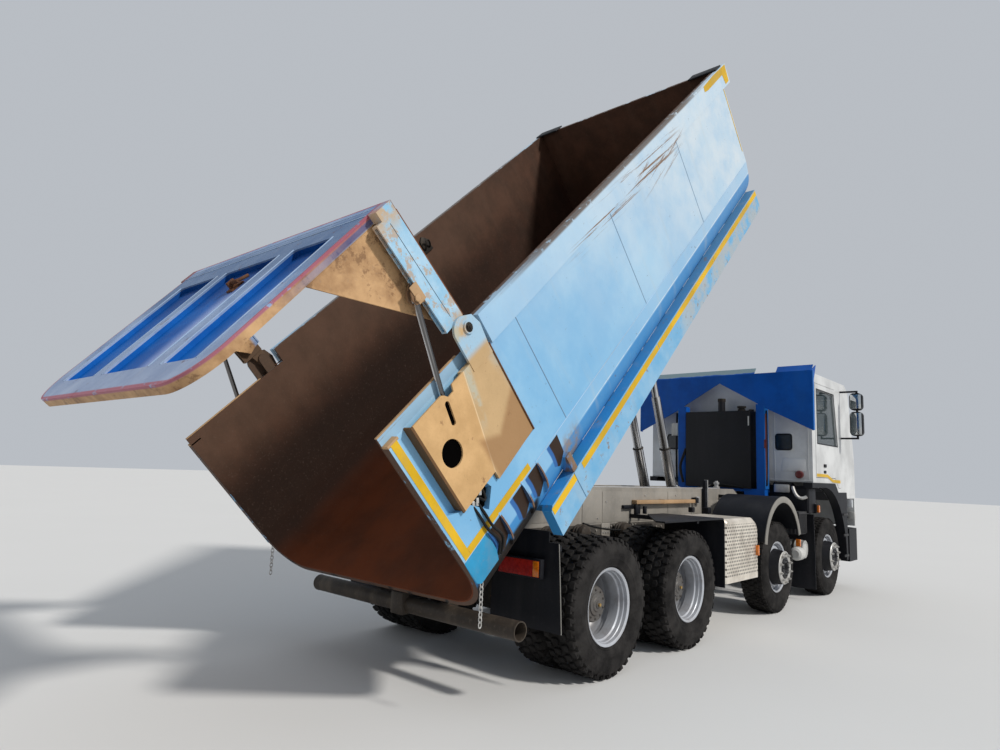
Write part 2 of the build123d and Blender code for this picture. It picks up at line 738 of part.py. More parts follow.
# Columns: axle, middle of the outer tyre, steered
wheel_rows = [
    ("1", front_tyre_y, True), ("2", front_tyre_y, True),
    ("3", rear_tyre_y, False), ("4", rear_tyre_y, False),
]
for name, middle_y, steered in wheel_rows:
    for hand, sign in (("left", 1), ("right", -1)):
        plane = wheel_plane(axle_x[name], middle_y, sign)
        axle = Axis((axle_x[name], 0, tyre_r), (0, 1, 0))
        with BuildPart() as tyre:
            with BuildSketch(plane):
                for shift in ((0,) if steered else (0, -twin_pitch)):
                    with BuildLine():
                        Polyline(
                            (shift - 138, 522), (shift - 122, tyre_r), (shift + 122, tyre_r),
                            (shift + 138, 522),
                        )
                        ThreePointArc((shift + 138, 522), (shift + tyre_half, 415), (shift + 126, 302))
                        Polyline(
                            (shift + 126, 302), (shift + 111, 302), (shift + 111, bead_r),
                            (shift - 111, bead_r), (shift - 111, 302), (shift - 126, 302),
                        )
                        ThreePointArc((shift - 126, 302), (shift - tyre_half, 415), (shift - 138, 522))
                    make_face()
            revolve(axis=axle)
        tyre.part.label = f"tyre_{name}_{hand}"
        export_step(tyre.part, f"parts/tyre_{name}_{hand}.step")
        with BuildPart() as rim:
            with BuildSketch(plane):
                outline(*rim_barrel)
                if steered:
                    outline((60, 275), (80, 275), (130, 200), (130, 150), (115, 150), (115, 195))
                    outline(
                        (110, 160), (145, 160), (165, 90), (165, 0), (65, 0), (65, 39.5), (-70, 39.5),
                        (-70, 70), (60, 70), (110, 110),
                    )
                else:
                    outline(*[(-twin_pitch - x, r) for x, r in rim_barrel])
                    outline(*dish)
                    outline(*[(-twin_pitch - x, r) for x, r in dish])
                    outline(
                        (-185, 140), (-60, 120), (-20, 95), (-20, 0), (-150, 0), (-150, 57), (-185, 57),
                    )
            revolve(axis=axle)
        rim.part.label = f"rim_{name}_{hand}"
        export_step(rim.part, f"parts/rim_{name}_{hand}.step")

# Bed tub: floor, walls with rounded lower corners, front wall and top rails, as one open shell.
centre_b = floor_top + corner_r
skin_r = centre_b - floor_bottom
rear_cut = 570.0
gusset = [
    (1225, 490), (1252, 490), (1262, 440), (1266, 380), (1262, 310), (1246, 250), (1215, 205), (1180, 185),
    (1165, 215), (1185, 270),
]
with BuildPart() as bed_tub:
    with BuildSketch(bed_section(bed_rear)):
        with BuildLine():
            Line((-wall_inner + corner_r, floor_bottom), (wall_inner - corner_r, floor_bottom))
            CenterArc((wall_inner - corner_r, centre_b), skin_r, -90, 85)
            Polyline(
                (wall_inner - corner_r + skin_r * cos(radians(5)), centre_b - skin_r * sin(radians(5))),
                (bed_half, break_b), (bed_half, wall_top), (-bed_half, wall_top), (-bed_half, break_b),
                (-wall_inner + corner_r - skin_r * cos(radians(5)), centre_b - skin_r * sin(radians(5))),
            )
            CenterArc((-wall_inner + corner_r, centre_b), skin_r, 185, 85)
        make_face()
    extrude(amount=bed_front - bed_rear)
    with BuildSketch(bed_section(bed_rear - 10)):
        with BuildLine():
            Line((-wall_inner + corner_r, floor_top), (wall_inner - corner_r, floor_top))
            CenterArc((wall_inner - corner_r, centre_b), corner_r, -90, 90)
            Polyline(
                (wall_inner, centre_b), (wall_inner, wall_top + 50), (-wall_inner, wall_top + 50),
                (-wall_inner, centre_b),
            )
            CenterArc((-wall_inner + corner_r, centre_b), corner_r, 180, 90)
        make_face()
    extrude(amount=bed_front - bed_rear - 50, mode=Mode.SUBTRACT)
    with BuildSketch(bed_side(0)):
        with Locations(((bed_rear - 20 + rear_cut) / 2, (liner_top + wall_top + 60) / 2)):
            Rectangle(rear_cut - bed_rear + 20, wall_top + 60 - liner_top)
    extrude(amount=bed_wide + 40, both=True, mode=Mode.SUBTRACT)
    for sign in (-1, 1):
        with BuildSketch(bed_side(sign * (wall_inner + 12))):
            outline(
                (bed_rear - 10, housing_top), (rear_cut, housing_top), (rear_cut, liner_top + 10),
                (bed_rear - 10, liner_top + 10),
            )
        extrude(amount=-sign * 200, mode=Mode.SUBTRACT)
        with BuildSketch(bed_side(sign * (wall_inner + 10))):
            outline((rear_cut, 1380), (rail_end, 1380), (rail_end, wall_top), (rear_cut, wall_top))
        extrude(amount=-sign * (bed_wide - wall_inner - 10))
        with BuildSketch(bed_side(sign * (wall_inner + 14))):
            outline(
                (-415, 800), (-415, housing_top + 60), (rear_cut - 18, housing_top + 60),
                (rear_cut - 18, 664), (46, 664), (46, 745), (-50, 745), (-20, 665), (-130, 570), (-240, 720),
                (-330, 745),
            )
        extrude(amount=-sign * 200, mode=Mode.SUBTRACT)
        for a in gusset_a:
            with BuildSketch(bed_section(a)):
                outline(*[(sign * y, b) for y, b in gusset])
            extrude(amount=14)
        with BuildSketch(bed_section(700)):
            outline(*[(sign * y, b) for y, b in [(1200, 270), (1256, 270), (1256, 125), (1175, 125), (1150, 180)]])
        extrude(amount=60)
bed_tub.part.label = "bed_tub"
export_step(bed_tub.part, "parts/bed_tub.step")

# Bed underframe: side rails, sills, cross beams and hinge ears.
beam_bottom = -80.0
hoist_eye_a = 4152.0
hoist_eye_b = -131.0
hoist_y = 186.0
sill_y = 395.0
with BuildPart() as bed_underframe:
    for sign in (-1, 1):
        with BuildSketch(bed_side(sign * bed_half)):
            outline((310, -130), (325, 95), (360, 120), (bed_front, 120), (bed_front, -130))
        extrude(amount=sign * 90)
        with BuildSketch(bed_side(sign * (bed_half + 6))):
            outline((700, -124), (700, 119), (760, 119), (760, -124))
        extrude(amount=sign * 20)
        with BuildSketch(bed_section(360)):
            outline(*[(sign * y, b) for y, b in [(1170, 120), (1137, 120), (1122, 104), (1170, 104)]])
        extrude(amount=bed_front - 360)
        with BuildSketch(bed_side(sign * (sill_y + 40))):
            outline(
                (-380, floor_bottom), (-380, -20), (-300, beam_bottom), (bed_front - 40, beam_bottom),
                (bed_front - 40, floor_bottom),
            )
        extrude(amount=sign * 80)
        with BuildSketch(bed_side(sign * (sill_y - 42))):
            with BuildLine():
                Polyline((hinge_a - 75, hinge_b), (hinge_a - 150, floor_bottom),
                         (hinge_a + 200, floor_bottom), (hinge_a + 75, hinge_b))
                ThreePointArc((hinge_a + 75, hinge_b), (hinge_a, hinge_b - 75), (hinge_a - 75, hinge_b))
            make_face()
            with Locations((hinge_a, hinge_b)):
                Circle(hinge_shaft_r + 1, mode=Mode.SUBTRACT)
        extrude(amount=sign * 40)
    with BuildSketch(bed_section(-420)):
        outline(
            (-870, floor_bottom), (-830, -60), (830, -60), (870, floor_bottom),
        )
    extrude(amount=80)
    for sign in (-1, 1):
        for y in (hoist_y - 68, hoist_y + 48):
            with BuildSketch(bed_side(sign * y)):
                with BuildLine():
                    Polyline(
                        (hoist_eye_a - 60, hoist_eye_b), (hoist_eye_a - 110, floor_bottom),
                        (hoist_eye_a + 110, floor_bottom), (hoist_eye_a + 60, hoist_eye_b),
                    )
                    ThreePointArc(
                        (hoist_eye_a + 60, hoist_eye_b), (hoist_eye_a, hoist_eye_b - 60),
                        (hoist_eye_a - 60, hoist_eye_b),
                    )
                make_face()
            extrude(amount=-sign * 20)
    for a in (480, 1120, 1760, 2400, 3040, 3560, 4010, 4230, 4780, 5320):
        with BuildSketch(bed_section(a)):
            outline(
                (-bed_half + 60, beam_bottom), (bed_half - 60, beam_bottom), (bed_half - 60, 0),
                (bed_half - 380, floor_bottom), (-bed_half + 380, floor_bottom), (-bed_half + 60, 0),
            )
        extrude(amount=80)
bed_underframe.part.label = "bed_underframe"
export_step(bed_underframe.part, "parts/bed_underframe.step")

# Housings over the tailgate cylinders, folded inwards at the front, with the pivot ears.
skin = 12.0
fold_foot = (54.0, 730.0)
fold_head = (220.0, housing_top)
fold_slope = 3.0
fold_dir = (bed_x * (fold_head[0] - fold_foot[0]) + bed_z * (fold_head[1] - fold_foot[1])).normalized()
fold_out = Vector(0, 1, 0).cross(fold_dir)
with BuildPart() as bed_housings:
    for sign in (-1, 1):
        with BuildSketch(bed_side(sign * bed_wide)):
            outline(
                (-320, 730), (50, 730), (50, 668), (rear_cut - 20, 668), (rear_cut - 20, housing_top),
                (100, housing_top), (84, 1352), (29, 1350), (5, 1380), (-15, housing_top), (-320, housing_top),
            )
            with Locations((-162, 1070)):
                Circle(88, mode=Mode.SUBTRACT)
            with Locations((-22, 1265)):
                SlotOverall(158, 40, rotation=76, mode=Mode.SUBTRACT)
        extrude(amount=sign * skin)
        with BuildSketch(bed_side(sign * bed_wide)):
            outline(fold_foot, (54, 668), (rear_cut - 20, 668), (rear_cut - 20, housing_top), fold_head)
        extrude(amount=sign * 45)
        with BuildSketch(Plane(origin=bed_point(fold_foot[0], fold_foot[1]) - fold_dir * 300, x_dir=fold_out,
                               z_dir=fold_dir)):
            outline(
                (0, sign * bed_wide), (600, sign * (bed_wide - 600 * sin(radians(fold_slope)))),
                (600, sign * (bed_wide + 20)), (0, sign * (bed_wide + 20)),
            )
        extrude(amount=1100, mode=Mode.SUBTRACT)
        with BuildSketch(bed_side(sign * bed_wide)):
            outline((-320, 750), (-320, housing_top), (-308, housing_top), (-308, 750))
        extrude(amount=sign * (bed_wide - wall_inner - 14))
        with BuildSketch(bed_side(sign * bed_wide)):
            with BuildLine():
                Polyline((309, housing_top - 60), (309, 1595))
                ThreePointArc((309, 1595), (350, 1655), (437, 1668))
                Polyline((437, 1668), (520, 1630), (553, 1545), (532, 1400), (532, housing_top - 60),
                         (309, housing_top - 60))
            make_face()
        extrude(amount=sign * 18)
        with BuildSketch(bed_side(sign * (bed_wide + 12))):
            with Locations((pivot_a, pivot_b)):
                Circle(42)
        extrude(amount=sign * 20)
        with BuildSketch(bed_side(sign * bed_wide)):
            with Locations((pivot_a, pivot_b)):
                Circle(22)
        extrude(amount=sign * (bed_wide - wall_inner - 14))
        with BuildSketch(bed_side(sign * (wall_inner + 26))):
            with Locations((pivot_a, pivot_b)):
                Circle(45)
            with Locations((pivot_a, (pivot_b + housing_top) / 2 - 30)):
                Rectangle(90, pivot_b - housing_top + 60)
        extrude(amount=sign * 12)
bed_housings.part.label = "bed_housings"
export_step(bed_housings.part, "parts/bed_housings.step")

# Tailgate: a panel with rounded lower corners and three bays, its arms and cheeks.
gate_top = 40.0
gate_foot = -1502.0
gate_corner = 288.0
arm_low = -150.0
arm_high = 45.0
# Columns: middle of the bay, width
bays = [(660, 580), (-110, 680), (-820, 400)]
with BuildPart() as tailgate:
    with BuildSketch(gate_face(gate_outer - gate_thick)):
        with BuildLine():
            Polyline((-gate_half, gate_top), (gate_half, gate_top), (gate_half, gate_foot + gate_corner))
            CenterArc((gate_half - gate_corner, gate_foot + gate_corner), gate_corner, -90, 90)
            Line((gate_half - gate_corner, gate_foot), (-gate_half + gate_corner, gate_foot))
            CenterArc((-gate_half + gate_corner, gate_foot + gate_corner), gate_corner, 180, 90)
            Line((-gate_half, gate_foot + gate_corner), (-gate_half, gate_top))
        make_face()
        with Locations((0, (gate_top - 100) / 2)):
            Rectangle(2 * (bed_wide - 20), gate_top + 100)
    extrude(amount=gate_thick)
    with BuildSketch(gate_face(gate_outer)):
        for y, wide in bays:
            with Locations((-y, -795)):
                RectangleRounded(wide, 1050, 40)
    extrude(amount=-40, mode=Mode.SUBTRACT)
    for sign in (-1, 1):
        with BuildSketch(gate_side(sign * (bed_wide - 20))):
            outline(
                (75, arm_low), (gate_outer - gate_thick, arm_low), (gate_outer - gate_thick, arm_high),
                (75, arm_high),
            )
        extrude(amount=-sign * 45)
        with BuildSketch(gate_side(sign * (bed_wide - 31))):
            outline(
                (87, arm_low - 1), (gate_outer - gate_thick - 12, arm_low - 1),
                (gate_outer - gate_thick - 12, arm_high - 12), (87, arm_high - 12),
            )
        extrude(amount=-sign * 25, mode=Mode.SUBTRACT)
        for y in (bed_wide - 20, bed_wide - 56):
            with BuildSketch(gate_side(sign * y)):
                outline((315, arm_low + 20), (470, arm_low + 20), (425, -212), (385, -232), (345, -222))
            extrude(amount=-sign * 9)
        with BuildSketch(gate_side(sign * (bed_wide - 32))):
            with BuildLine():
                Polyline((0, -50), (120, -80), (120, 45), (0, 50))
                ThreePointArc((0, 50), (-50, 0), (0, -50))
            make_face()
            Circle(23, mode=Mode.SUBTRACT)
        extrude(amount=-sign * 20)
        with BuildSketch(gate_side(sign * (gate_half - 5))):
            outline((150, arm_high), (gate_outer - gate_thick, arm_high), (gate_outer - gate_thick, -700), (120, -80))
        extrude(amount=-sign * 12)
        with BuildSketch(gate_side(sign * (bed_wide - 20))):
            outline((150, arm_high - 12), (gate_outer - gate_thick, arm_high - 12), (gate_outer - gate_thick, arm_high),
                    (150, arm_high))
        extrude(amount=-sign * 100)
tailgate.part.label = "tailgate"
export_step(tailgate.part, "parts/tailgate.step")

# Tailgate cylinders: barrels in the housings and rods up to the arms.
gate_base = bed_point(-190, 740)
rod_eye_at = (370.0, -190.0)
gate_eye_half = 9.0
gate_eye = gate_pivot + arm_dir * rod_eye_at[0] + up_dir * rod_eye_at[1]
ram_y = 1232.0
ram_dir = (gate_eye - gate_base).normalized()


def ram_plane(reach, y):
    """Plane across the tailgate cylinder, reach along it from its base pin."""
    return Plane(origin=gate_base + ram_dir * reach + Vector(0, y, 0), x_dir=(0, 1, 0), z_dir=ram_dir)


barrel_long = 600.0
rod_r = 10.0
with BuildPart() as gate_barrels:
    for sign in (-1, 1):
        with BuildSketch(ram_plane(0, sign * ram_y)):
            Circle(26)
            Circle(rod_r + 1, mode=Mode.SUBTRACT)
        extrude(amount=barrel_long)
        with BuildSketch(ram_plane(-25, sign * ram_y)):
            Circle(24)
        extrude(amount=40)
gate_barrels.part.label = "gate_barrels"
export_step(gate_barrels.part, "parts/gate_barrels.step")

rod_reach = (gate_eye - gate_base).length
with BuildPart() as gate_rods:
    for sign in (-1, 1):
        with BuildSketch(ram_plane(rod_reach - 600, sign * ram_y)):
            Circle(rod_r)
        extrude(amount=590)
        with BuildSketch(Plane(origin=gate_eye + Vector(0, sign * ram_y, 0), x_dir=ram_dir, z_dir=(0, 1, 0))):
            Circle(24)
        extrude(amount=gate_eye_half, both=True)
gate_rods.part.label = "gate_rods"
export_step(gate_rods.part, "parts/gate_rods.step")

# Hoist: two upright telescopic cylinders between the rails.
hoist_eye = bed_point(hoist_eye_a, hoist_eye_b)
hoist_dir = (hoist_eye - trunnion).normalized()
hoist_reach = (hoist_eye - trunnion).length
hoist_shut = 259.0
stage_count = 4
stage_stroke = (hoist_reach - hoist_shut) / stage_count
stage_top = 180.0
stage_long = 730.0


def hoist_plane(reach, y):
    """Plane across the hoist cylinder, reach along it from the trunnion."""
    return Plane(origin=trunnion + hoist_dir * reach + Vector(0, y, 0), x_dir=(0, 1, 0), z_dir=hoist_dir)


with BuildPart() as hoist_barrels:
    for sign in (-1, 1):
        with BuildSketch(hoist_plane(stage_top - 20 - stage_long, sign * hoist_y)):
            Circle(73)
            Circle(62, mode=Mode.SUBTRACT)
        extrude(amount=stage_long)
        with BuildSketch(side(sign * hoist_y)):
            with Locations((trunnion.X, trunnion.Z)):
                Circle(trunnion_r)
        extrude(amount=108, both=True)
        with BuildSketch(hoist_plane(stage_top - 30 - stage_long, sign * hoist_y)):
            Circle(62)
        extrude(amount=500 + stage_long, mode=Mode.SUBTRACT)
hoist_barrels.part.label = "hoist_barrels"
export_step(hoist_barrels.part, "parts/hoist_barrels.step")

# Columns: stage, outer radius, inner radius
stages = [(1, 61, 52), (2, 51, 42), (3, 41, 32), (4, 31, 0)]
for stage, outer, inner in stages:
    top = stage_top + stage * stage_stroke
    with BuildPart() as hoist_stage:
        for sign in (-1, 1):
            with BuildSketch(hoist_plane(top - stage_long + 20, sign * hoist_y)):
                Circle(outer)
                if inner:
                    Circle(inner, mode=Mode.SUBTRACT)
            extrude(amount=stage_long - 20)
            if stage == stage_count:
                with BuildSketch(hoist_plane(top - 10, sign * hoist_y)):
                    Circle(outer)
                extrude(amount=hoist_reach - top)
                with BuildSketch(Plane(origin=hoist_eye + Vector(0, sign * hoist_y - 40, 0), x_dir=hoist_dir,
                                       z_dir=(0, 1, 0))):
                    Circle(50)
                extrude(amount=80)
    hoist_stage.part.label = f"hoist_stage_{stage}"
    export_step(hoist_stage.part, f"parts/hoist_stage_{stage}.step")
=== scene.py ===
from math import atan2, cos, pi, radians, sin

import bpy
from mathutils import Matrix, Vector


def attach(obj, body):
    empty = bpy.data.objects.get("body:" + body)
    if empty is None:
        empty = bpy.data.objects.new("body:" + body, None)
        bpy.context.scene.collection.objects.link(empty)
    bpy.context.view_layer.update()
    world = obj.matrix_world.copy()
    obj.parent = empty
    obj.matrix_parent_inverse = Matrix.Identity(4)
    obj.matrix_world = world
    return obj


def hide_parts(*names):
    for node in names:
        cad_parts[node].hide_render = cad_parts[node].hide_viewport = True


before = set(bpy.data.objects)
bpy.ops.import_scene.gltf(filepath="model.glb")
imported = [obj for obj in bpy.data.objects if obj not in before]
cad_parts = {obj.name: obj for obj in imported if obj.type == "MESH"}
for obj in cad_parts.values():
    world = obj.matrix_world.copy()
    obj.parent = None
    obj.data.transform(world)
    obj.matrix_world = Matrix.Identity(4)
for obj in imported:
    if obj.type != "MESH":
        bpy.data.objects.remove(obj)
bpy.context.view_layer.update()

bl_info = {
    "name": "Dump truck dressing",
    "version": (1, 0, 0),
    "blender": (4, 5, 0),
    "location": "3D View > Sidebar > Truck",
    "description": "Tread, trim, wear and paint for a rear-tipping dump truck, around its CAD frame",
    "category": "Object",
}

# The frame's own directions. The bed stands at 44 degrees and its tailgate is 85 degrees open.
REAR_X = -1.9015
TILT = radians(44)
GATE = radians(85)
BED_X = Vector((cos(TILT), 0, sin(TILT)))
BED_Z = Vector((-sin(TILT), 0, cos(TILT)))
BED_AT = Vector((REAR_X - 1.0, 0, 1.0))
ARM = -BED_X * cos(GATE) + BED_Z * sin(GATE)
RISE = BED_X * sin(GATE) + BED_Z * cos(GATE)
PIVOT = BED_AT + BED_X * 0.440 + BED_Z * 1.582
ACROSS = Vector((0, 1, 0))
UP = Vector((0, 0, 1))
AHEAD = Vector((1, 0, 0))
TYRE_R = 0.540
FRONT_Y = 1.010
REAR_Y = 1.090
TWIN = 0.345
AXLES = {"1": REAR_X + 5.870, "2": REAR_X + 3.870, "3": REAR_X + 1.380, "4": REAR_X}
HANDS = {"left": 1, "right": -1}
TOP_RAIL_Y = 1.2752
MERGE = 0.00002
REAR_BLOCKS, FRONT_BLOCKS = 38, 54


def vx(x):
    """Row X of a place measured forward from the rearmost axle."""
    return REAR_X + x


def bed(a, y, b):
    """A place in the bed: a along its floor, b square to the floor."""
    return BED_AT + BED_X * a + BED_Z * b + ACROSS * y


def gate(g, y, c):
    """A place on the tailgate: g out from its pivot, c up when it is shut."""
    return PIVOT + ARM * g + RISE * c + ACROSS * y


def axes(at, u, v):
    """The matrix that puts a flat outline at a place: u and v are its own directions."""
    w = u.cross(v)
    m = Matrix((u, v, w)).transposed().to_4x4()
    m.translation = at
    return m


def side_axes(y):
    """Upright lengthwise: u forward from the rearmost axle, v up, thickness to the right side."""
    return axes(Vector((REAR_X, y, 0)), AHEAD, UP)


def rear_axes(x):
    """A place facing backwards: u to the right side, v up, thickness backwards."""
    return axes(Vector((vx(x), 0, 0)), -ACROSS, UP)


def bed_axes(y):
    return axes(bed(0, y, 0), BED_X, BED_Z)


def gate_axes(g):
    return axes(gate(g, 0, 0), -ACROSS, RISE)


def arm_axes(y):
    return axes(gate(0, y, 0), ARM, RISE)


# Making shapes, by the edit mode's own operators.
def clear():
    if bpy.context.mode != "OBJECT":
        bpy.ops.object.mode_set(mode="OBJECT")
    bpy.ops.object.select_all(action="DESELECT")


def only(*objs):
    clear()
    for o in objs:
        o.select_set(True)
    bpy.context.view_layer.objects.active = objs[0]


def soften(o, width, segments=2):
    """Rounds a piece's sharp edges."""
    only(o)
    m = o.modifiers.new("edge", "BEVEL")
    m.width = width
    m.segments = segments
    m.limit_method = "ANGLE"
    m.angle_limit = radians(40)
    bpy.ops.object.modifier_apply(modifier=m.name)
    return o


def plate(points, place, thick, edge=0.0):
    """A flat outline pulled out to a plate of this thickness."""
    clear()
    bpy.ops.mesh.primitive_circle_add(vertices=len(points), fill_type="NGON")
    o = bpy.context.object
    for v, (p, q) in zip(o.data.vertices, points):
        v.co = (p, q, 0)
    bpy.ops.object.mode_set(mode="EDIT")
    bpy.ops.mesh.select_all(action="SELECT")
    bpy.ops.mesh.extrude_region_move(TRANSFORM_OT_translate={"value": (0, 0, thick)})
    bpy.ops.mesh.select_all(action="SELECT")
    bpy.ops.mesh.normals_make_consistent(inside=False)
    bpy.ops.object.mode_set(mode="OBJECT")
    o.data.transform(place)
    if edge:
        soften(o, edge)
    return o


def block(low, high, place, edge=0.004):
    """A softened block between two corners in the place's own directions."""
    at = place.copy()
    at.translation = place @ Vector((0, 0, low[2]))
    return plate([(low[0], low[1]), (high[0], low[1]), (high[0], high[1]), (low[0], high[1])], at,
                 high[2] - low[2], edge)


def blocks(place, *rows):
    """Blocks in one place, each a row of its two corners and the width of its edge."""
    return [block(r[:3], r[3:6], place, r[6]) for r in rows]


def lathe(profile, at, axis, steps=48):
    """A closed profile of (along, radius) pairs turned round an axis."""
    axis = Vector(axis).normalized()
    out = axis.orthogonal().normalized()
    clear()
    bpy.ops.mesh.primitive_circle_add(vertices=len(profile), fill_type="NOTHING")
    o = bpy.context.object
    for v, (s, r) in zip(o.data.vertices, profile):
        v.co = Vector(at) + axis * s + out * r
    bpy.ops.object.mode_set(mode="EDIT")
    bpy.ops.mesh.select_all(action="SELECT")
    bpy.ops.mesh.spin(steps=steps, angle=2 * pi, center=at, axis=axis)
    bpy.ops.mesh.select_all(action="SELECT")
    bpy.ops.mesh.remove_doubles(threshold=MERGE)
    bpy.ops.mesh.normals_make_consistent(inside=False)
    bpy.ops.object.mode_set(mode="OBJECT")
    return o


def rod(a, b, radius, steps=16, edge=0.0):
    """A round bar from a to b."""
    a, b = Vector(a), Vector(b)
    long = (b - a).length
    o = lathe([(0, 0), (0, radius), (long, radius), (long, 0)], a, b - a, steps)
    return soften(o, edge) if edge else o


def row(x, y, z):
    """A place on the truck, measured forward from the rearmost axle."""
    return Vector((vx(x), y, z))


def tube(points, radius, sides=3, place=row):
    """A pipe or hose along a smooth line of points on the truck, or in the bed with place=bed."""
    clear()
    bpy.ops.curve.primitive_nurbs_path_add()
    o = bpy.context.object
    curve = o.data
    curve.splines.clear()
    line = curve.splines.new("NURBS")
    line.points.add(len(points) - 1)
    for p, co in zip(line.points, points):
        p.co = (*place(*co), 1)
    line.order_u = 3
    line.use_endpoint_u = True
    line.resolution_u = 6
    curve.dimensions = "3D"
    curve.bevel_depth = radius
    curve.bevel_resolution = sides
    curve.use_fill_caps = True
    only(o)
    bpy.ops.object.convert(target="MESH")
    o = bpy.context.object
    bpy.ops.object.mode_set(mode="EDIT")
    bpy.ops.mesh.select_all(action="SELECT")
    bpy.ops.mesh.remove_doubles(threshold=MERGE)
    bpy.ops.mesh.normals_make_consistent(inside=False)
    bpy.ops.object.mode_set(mode="OBJECT")
    return o


def turned(o, count, at, axis):
    """The shape repeated round an axis, the first one included."""
    only(o)
    bpy.ops.object.mode_set(mode="EDIT")
    bpy.ops.mesh.select_all(action="SELECT")
    bpy.ops.mesh.spin(steps=count - 1, dupli=True, angle=2 * pi * (count - 1) / count, center=at, axis=axis)
    bpy.ops.object.mode_set(mode="OBJECT")
    return o


def moved(o, matrix):
    """A copy with its own mesh, put elsewhere."""
    only(o)
    bpy.ops.object.duplicate()
    c = bpy.context.object
    c.data.transform(matrix)
    if matrix.determinant() < 0:
        c.data.flip_normals()
    return c


def mirrored(o):
    """The same piece on the truck's other side."""
    return moved(o, Matrix.Diagonal((1, -1, 1, 1)))


def both(objs):
    """These pieces and their mirrored copies."""
    return objs + [mirrored(o) for o in objs]


def joined(objs):
    only(*objs)
    if len(objs) > 1:
        bpy.ops.object.join()
    return bpy.context.object


def dress(o, finish):
    o.data.materials.clear()
    o.data.materials.append(finish_of(finish))


def settle(name, objs, finish, body="truck", stands_for=(), angle=35):
    """Names the finished piece, gives it its finish and fixes it to its CAD body."""
    o = joined(objs)
    bpy.ops.object.transform_apply(location=True, rotation=True, scale=True)
    o.name = name
    o.data.name = name
    dress(o, finish)
    bpy.ops.object.shade_smooth_by_angle(angle=radians(angle))
    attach(o, body)
    if stands_for:
        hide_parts(*stands_for)
    return o


class Value:
    """A number or colour that the nodes work out; its sums and products are nodes too."""

    def __init__(self, finish, socket):
        self.finish = finish
        self.socket = socket

    def __add__(self, other):
        return self.finish.math("ADD", self, other)

    def __radd__(self, other):
        return self.finish.math("ADD", other, self)

    def __sub__(self, other):
        return self.finish.math("SUBTRACT", self, other)

    def __rsub__(self, other):
        return self.finish.math("SUBTRACT", other, self)

    def __mul__(self, other):
        return self.finish.math("MULTIPLY", self, other)

    def __truediv__(self, other):
        return self.finish.math("DIVIDE", self, other)

    def __abs__(self):
        return self.math("ABSOLUTE")

    def math(self, kind):
        return self.finish.math(kind, self)

    def most(self, other):
        """The larger of the two."""
        return self.finish.math("MAXIMUM", self, other)

    def step(self, low, high):
        """0 below low, 1 above high, smooth between; low may be the larger."""
        n = self.finish.node("ShaderNodeMapRange", interpolation_type="SMOOTHSTEP")
        self.finish.feed(n.inputs["Value"], self)
        ends = (low, high, 0, 1) if low < high else (high, low, 1, 0)
        for socket, v in zip(("From Min", "From Max", "To Min", "To Max"), ends):
            n.inputs[socket].default_value = v
        return Value(self.finish, n.outputs["Result"])

    def band(self, low, high, soft=0.004):
        """1 between low and high."""
        return self.step(low - soft, low + soft) * self.step(high + soft, high - soft)

    def coat(self, mask, colour):
        """This colour with another one over it."""
        return self.finish.mix(mask, self, colour)


class Finish:
    """A finish worked out from the place on the object: colour, wear, roughness and bump."""

    def __init__(self, name, rough=0.5, metal=0.0, gloss=0.25):
        self.mat = bpy.data.materials.new(name)
        self.mat.use_nodes = True
        self.tree = self.mat.node_tree
        self.shader = self.tree.nodes["Principled BSDF"]
        self.shader.inputs["Metallic"].default_value = metal
        self.shader.inputs["Roughness"].default_value = rough
        self.shader.inputs["Specular IOR Level"].default_value = gloss
        self.place = Value(self, self.node("ShaderNodeTexCoord").outputs["Object"])

    def node(self, kind, **settings):
        n = self.tree.nodes.new(kind)
        for key, value in settings.items():
            setattr(n, key, value)
        return n

    def feed(self, socket, value):
        if isinstance(value, Value):
            self.tree.links.new(value.socket, socket)
        elif socket.type == "RGBA":
            socket.default_value = (*value[:3], 1)
        else:
            socket.default_value = value

    def mapped(self, at=(0, 0, 0), turn=(0, 0, 0), size=(1, 1, 1)):
        """The place in other directions: about a point, turned, or stretched."""
        n = self.node("ShaderNodeMapping", vector_type="TEXTURE")
        self.feed(n.inputs["Vector"], self.place)
        n.inputs["Location"].default_value = at
        n.inputs["Rotation"].default_value = turn
        n.inputs["Scale"].default_value = size
        return Value(self, n.outputs["Vector"])

    def split(self, vector=None):
        n = self.node("ShaderNodeSeparateXYZ")
        self.feed(n.inputs[0], vector or self.place)
        return [Value(self, out) for out in n.outputs]

    def math(self, kind, a, b=0.0):
        n = self.node("ShaderNodeMath", operation=kind)
        self.feed(n.inputs[0], a)
        self.feed(n.inputs[1], b)
        return Value(self, n.outputs[0])

    def noise(self, scale, detail=4.0, rough=0.55, vector=None):
        n = self.node("ShaderNodeTexNoise")
        self.feed(n.inputs["Vector"], vector or self.place)
        n.inputs["Scale"].default_value = scale
        n.inputs["Detail"].default_value = detail
        n.inputs["Roughness"].default_value = rough
        return Value(self, n.outputs["Fac"])

    def mix(self, mask, a, b):
        n = self.node("ShaderNodeMix", data_type="RGBA")
        # Sockets 0, 6 and 7 are the factor and the two colours.
        for i, value in ((0, mask), (6, a), (7, b)):
            self.feed(n.inputs[i], value)
        return Value(self, n.outputs[2])

    def rough(self, value):
        self.feed(self.shader.inputs["Roughness"], value)

    def colour(self, value):
        self.feed(self.shader.inputs["Base Color"], value)

    def bump(self, height, strength=0.3, distance=0.01):
        n = self.node("ShaderNodeBump")
        n.inputs["Strength"].default_value = strength
        n.inputs["Distance"].default_value = distance
        self.feed(n.inputs["Height"], height)
        self.tree.links.new(n.outputs["Normal"], self.shader.inputs["Normal"])


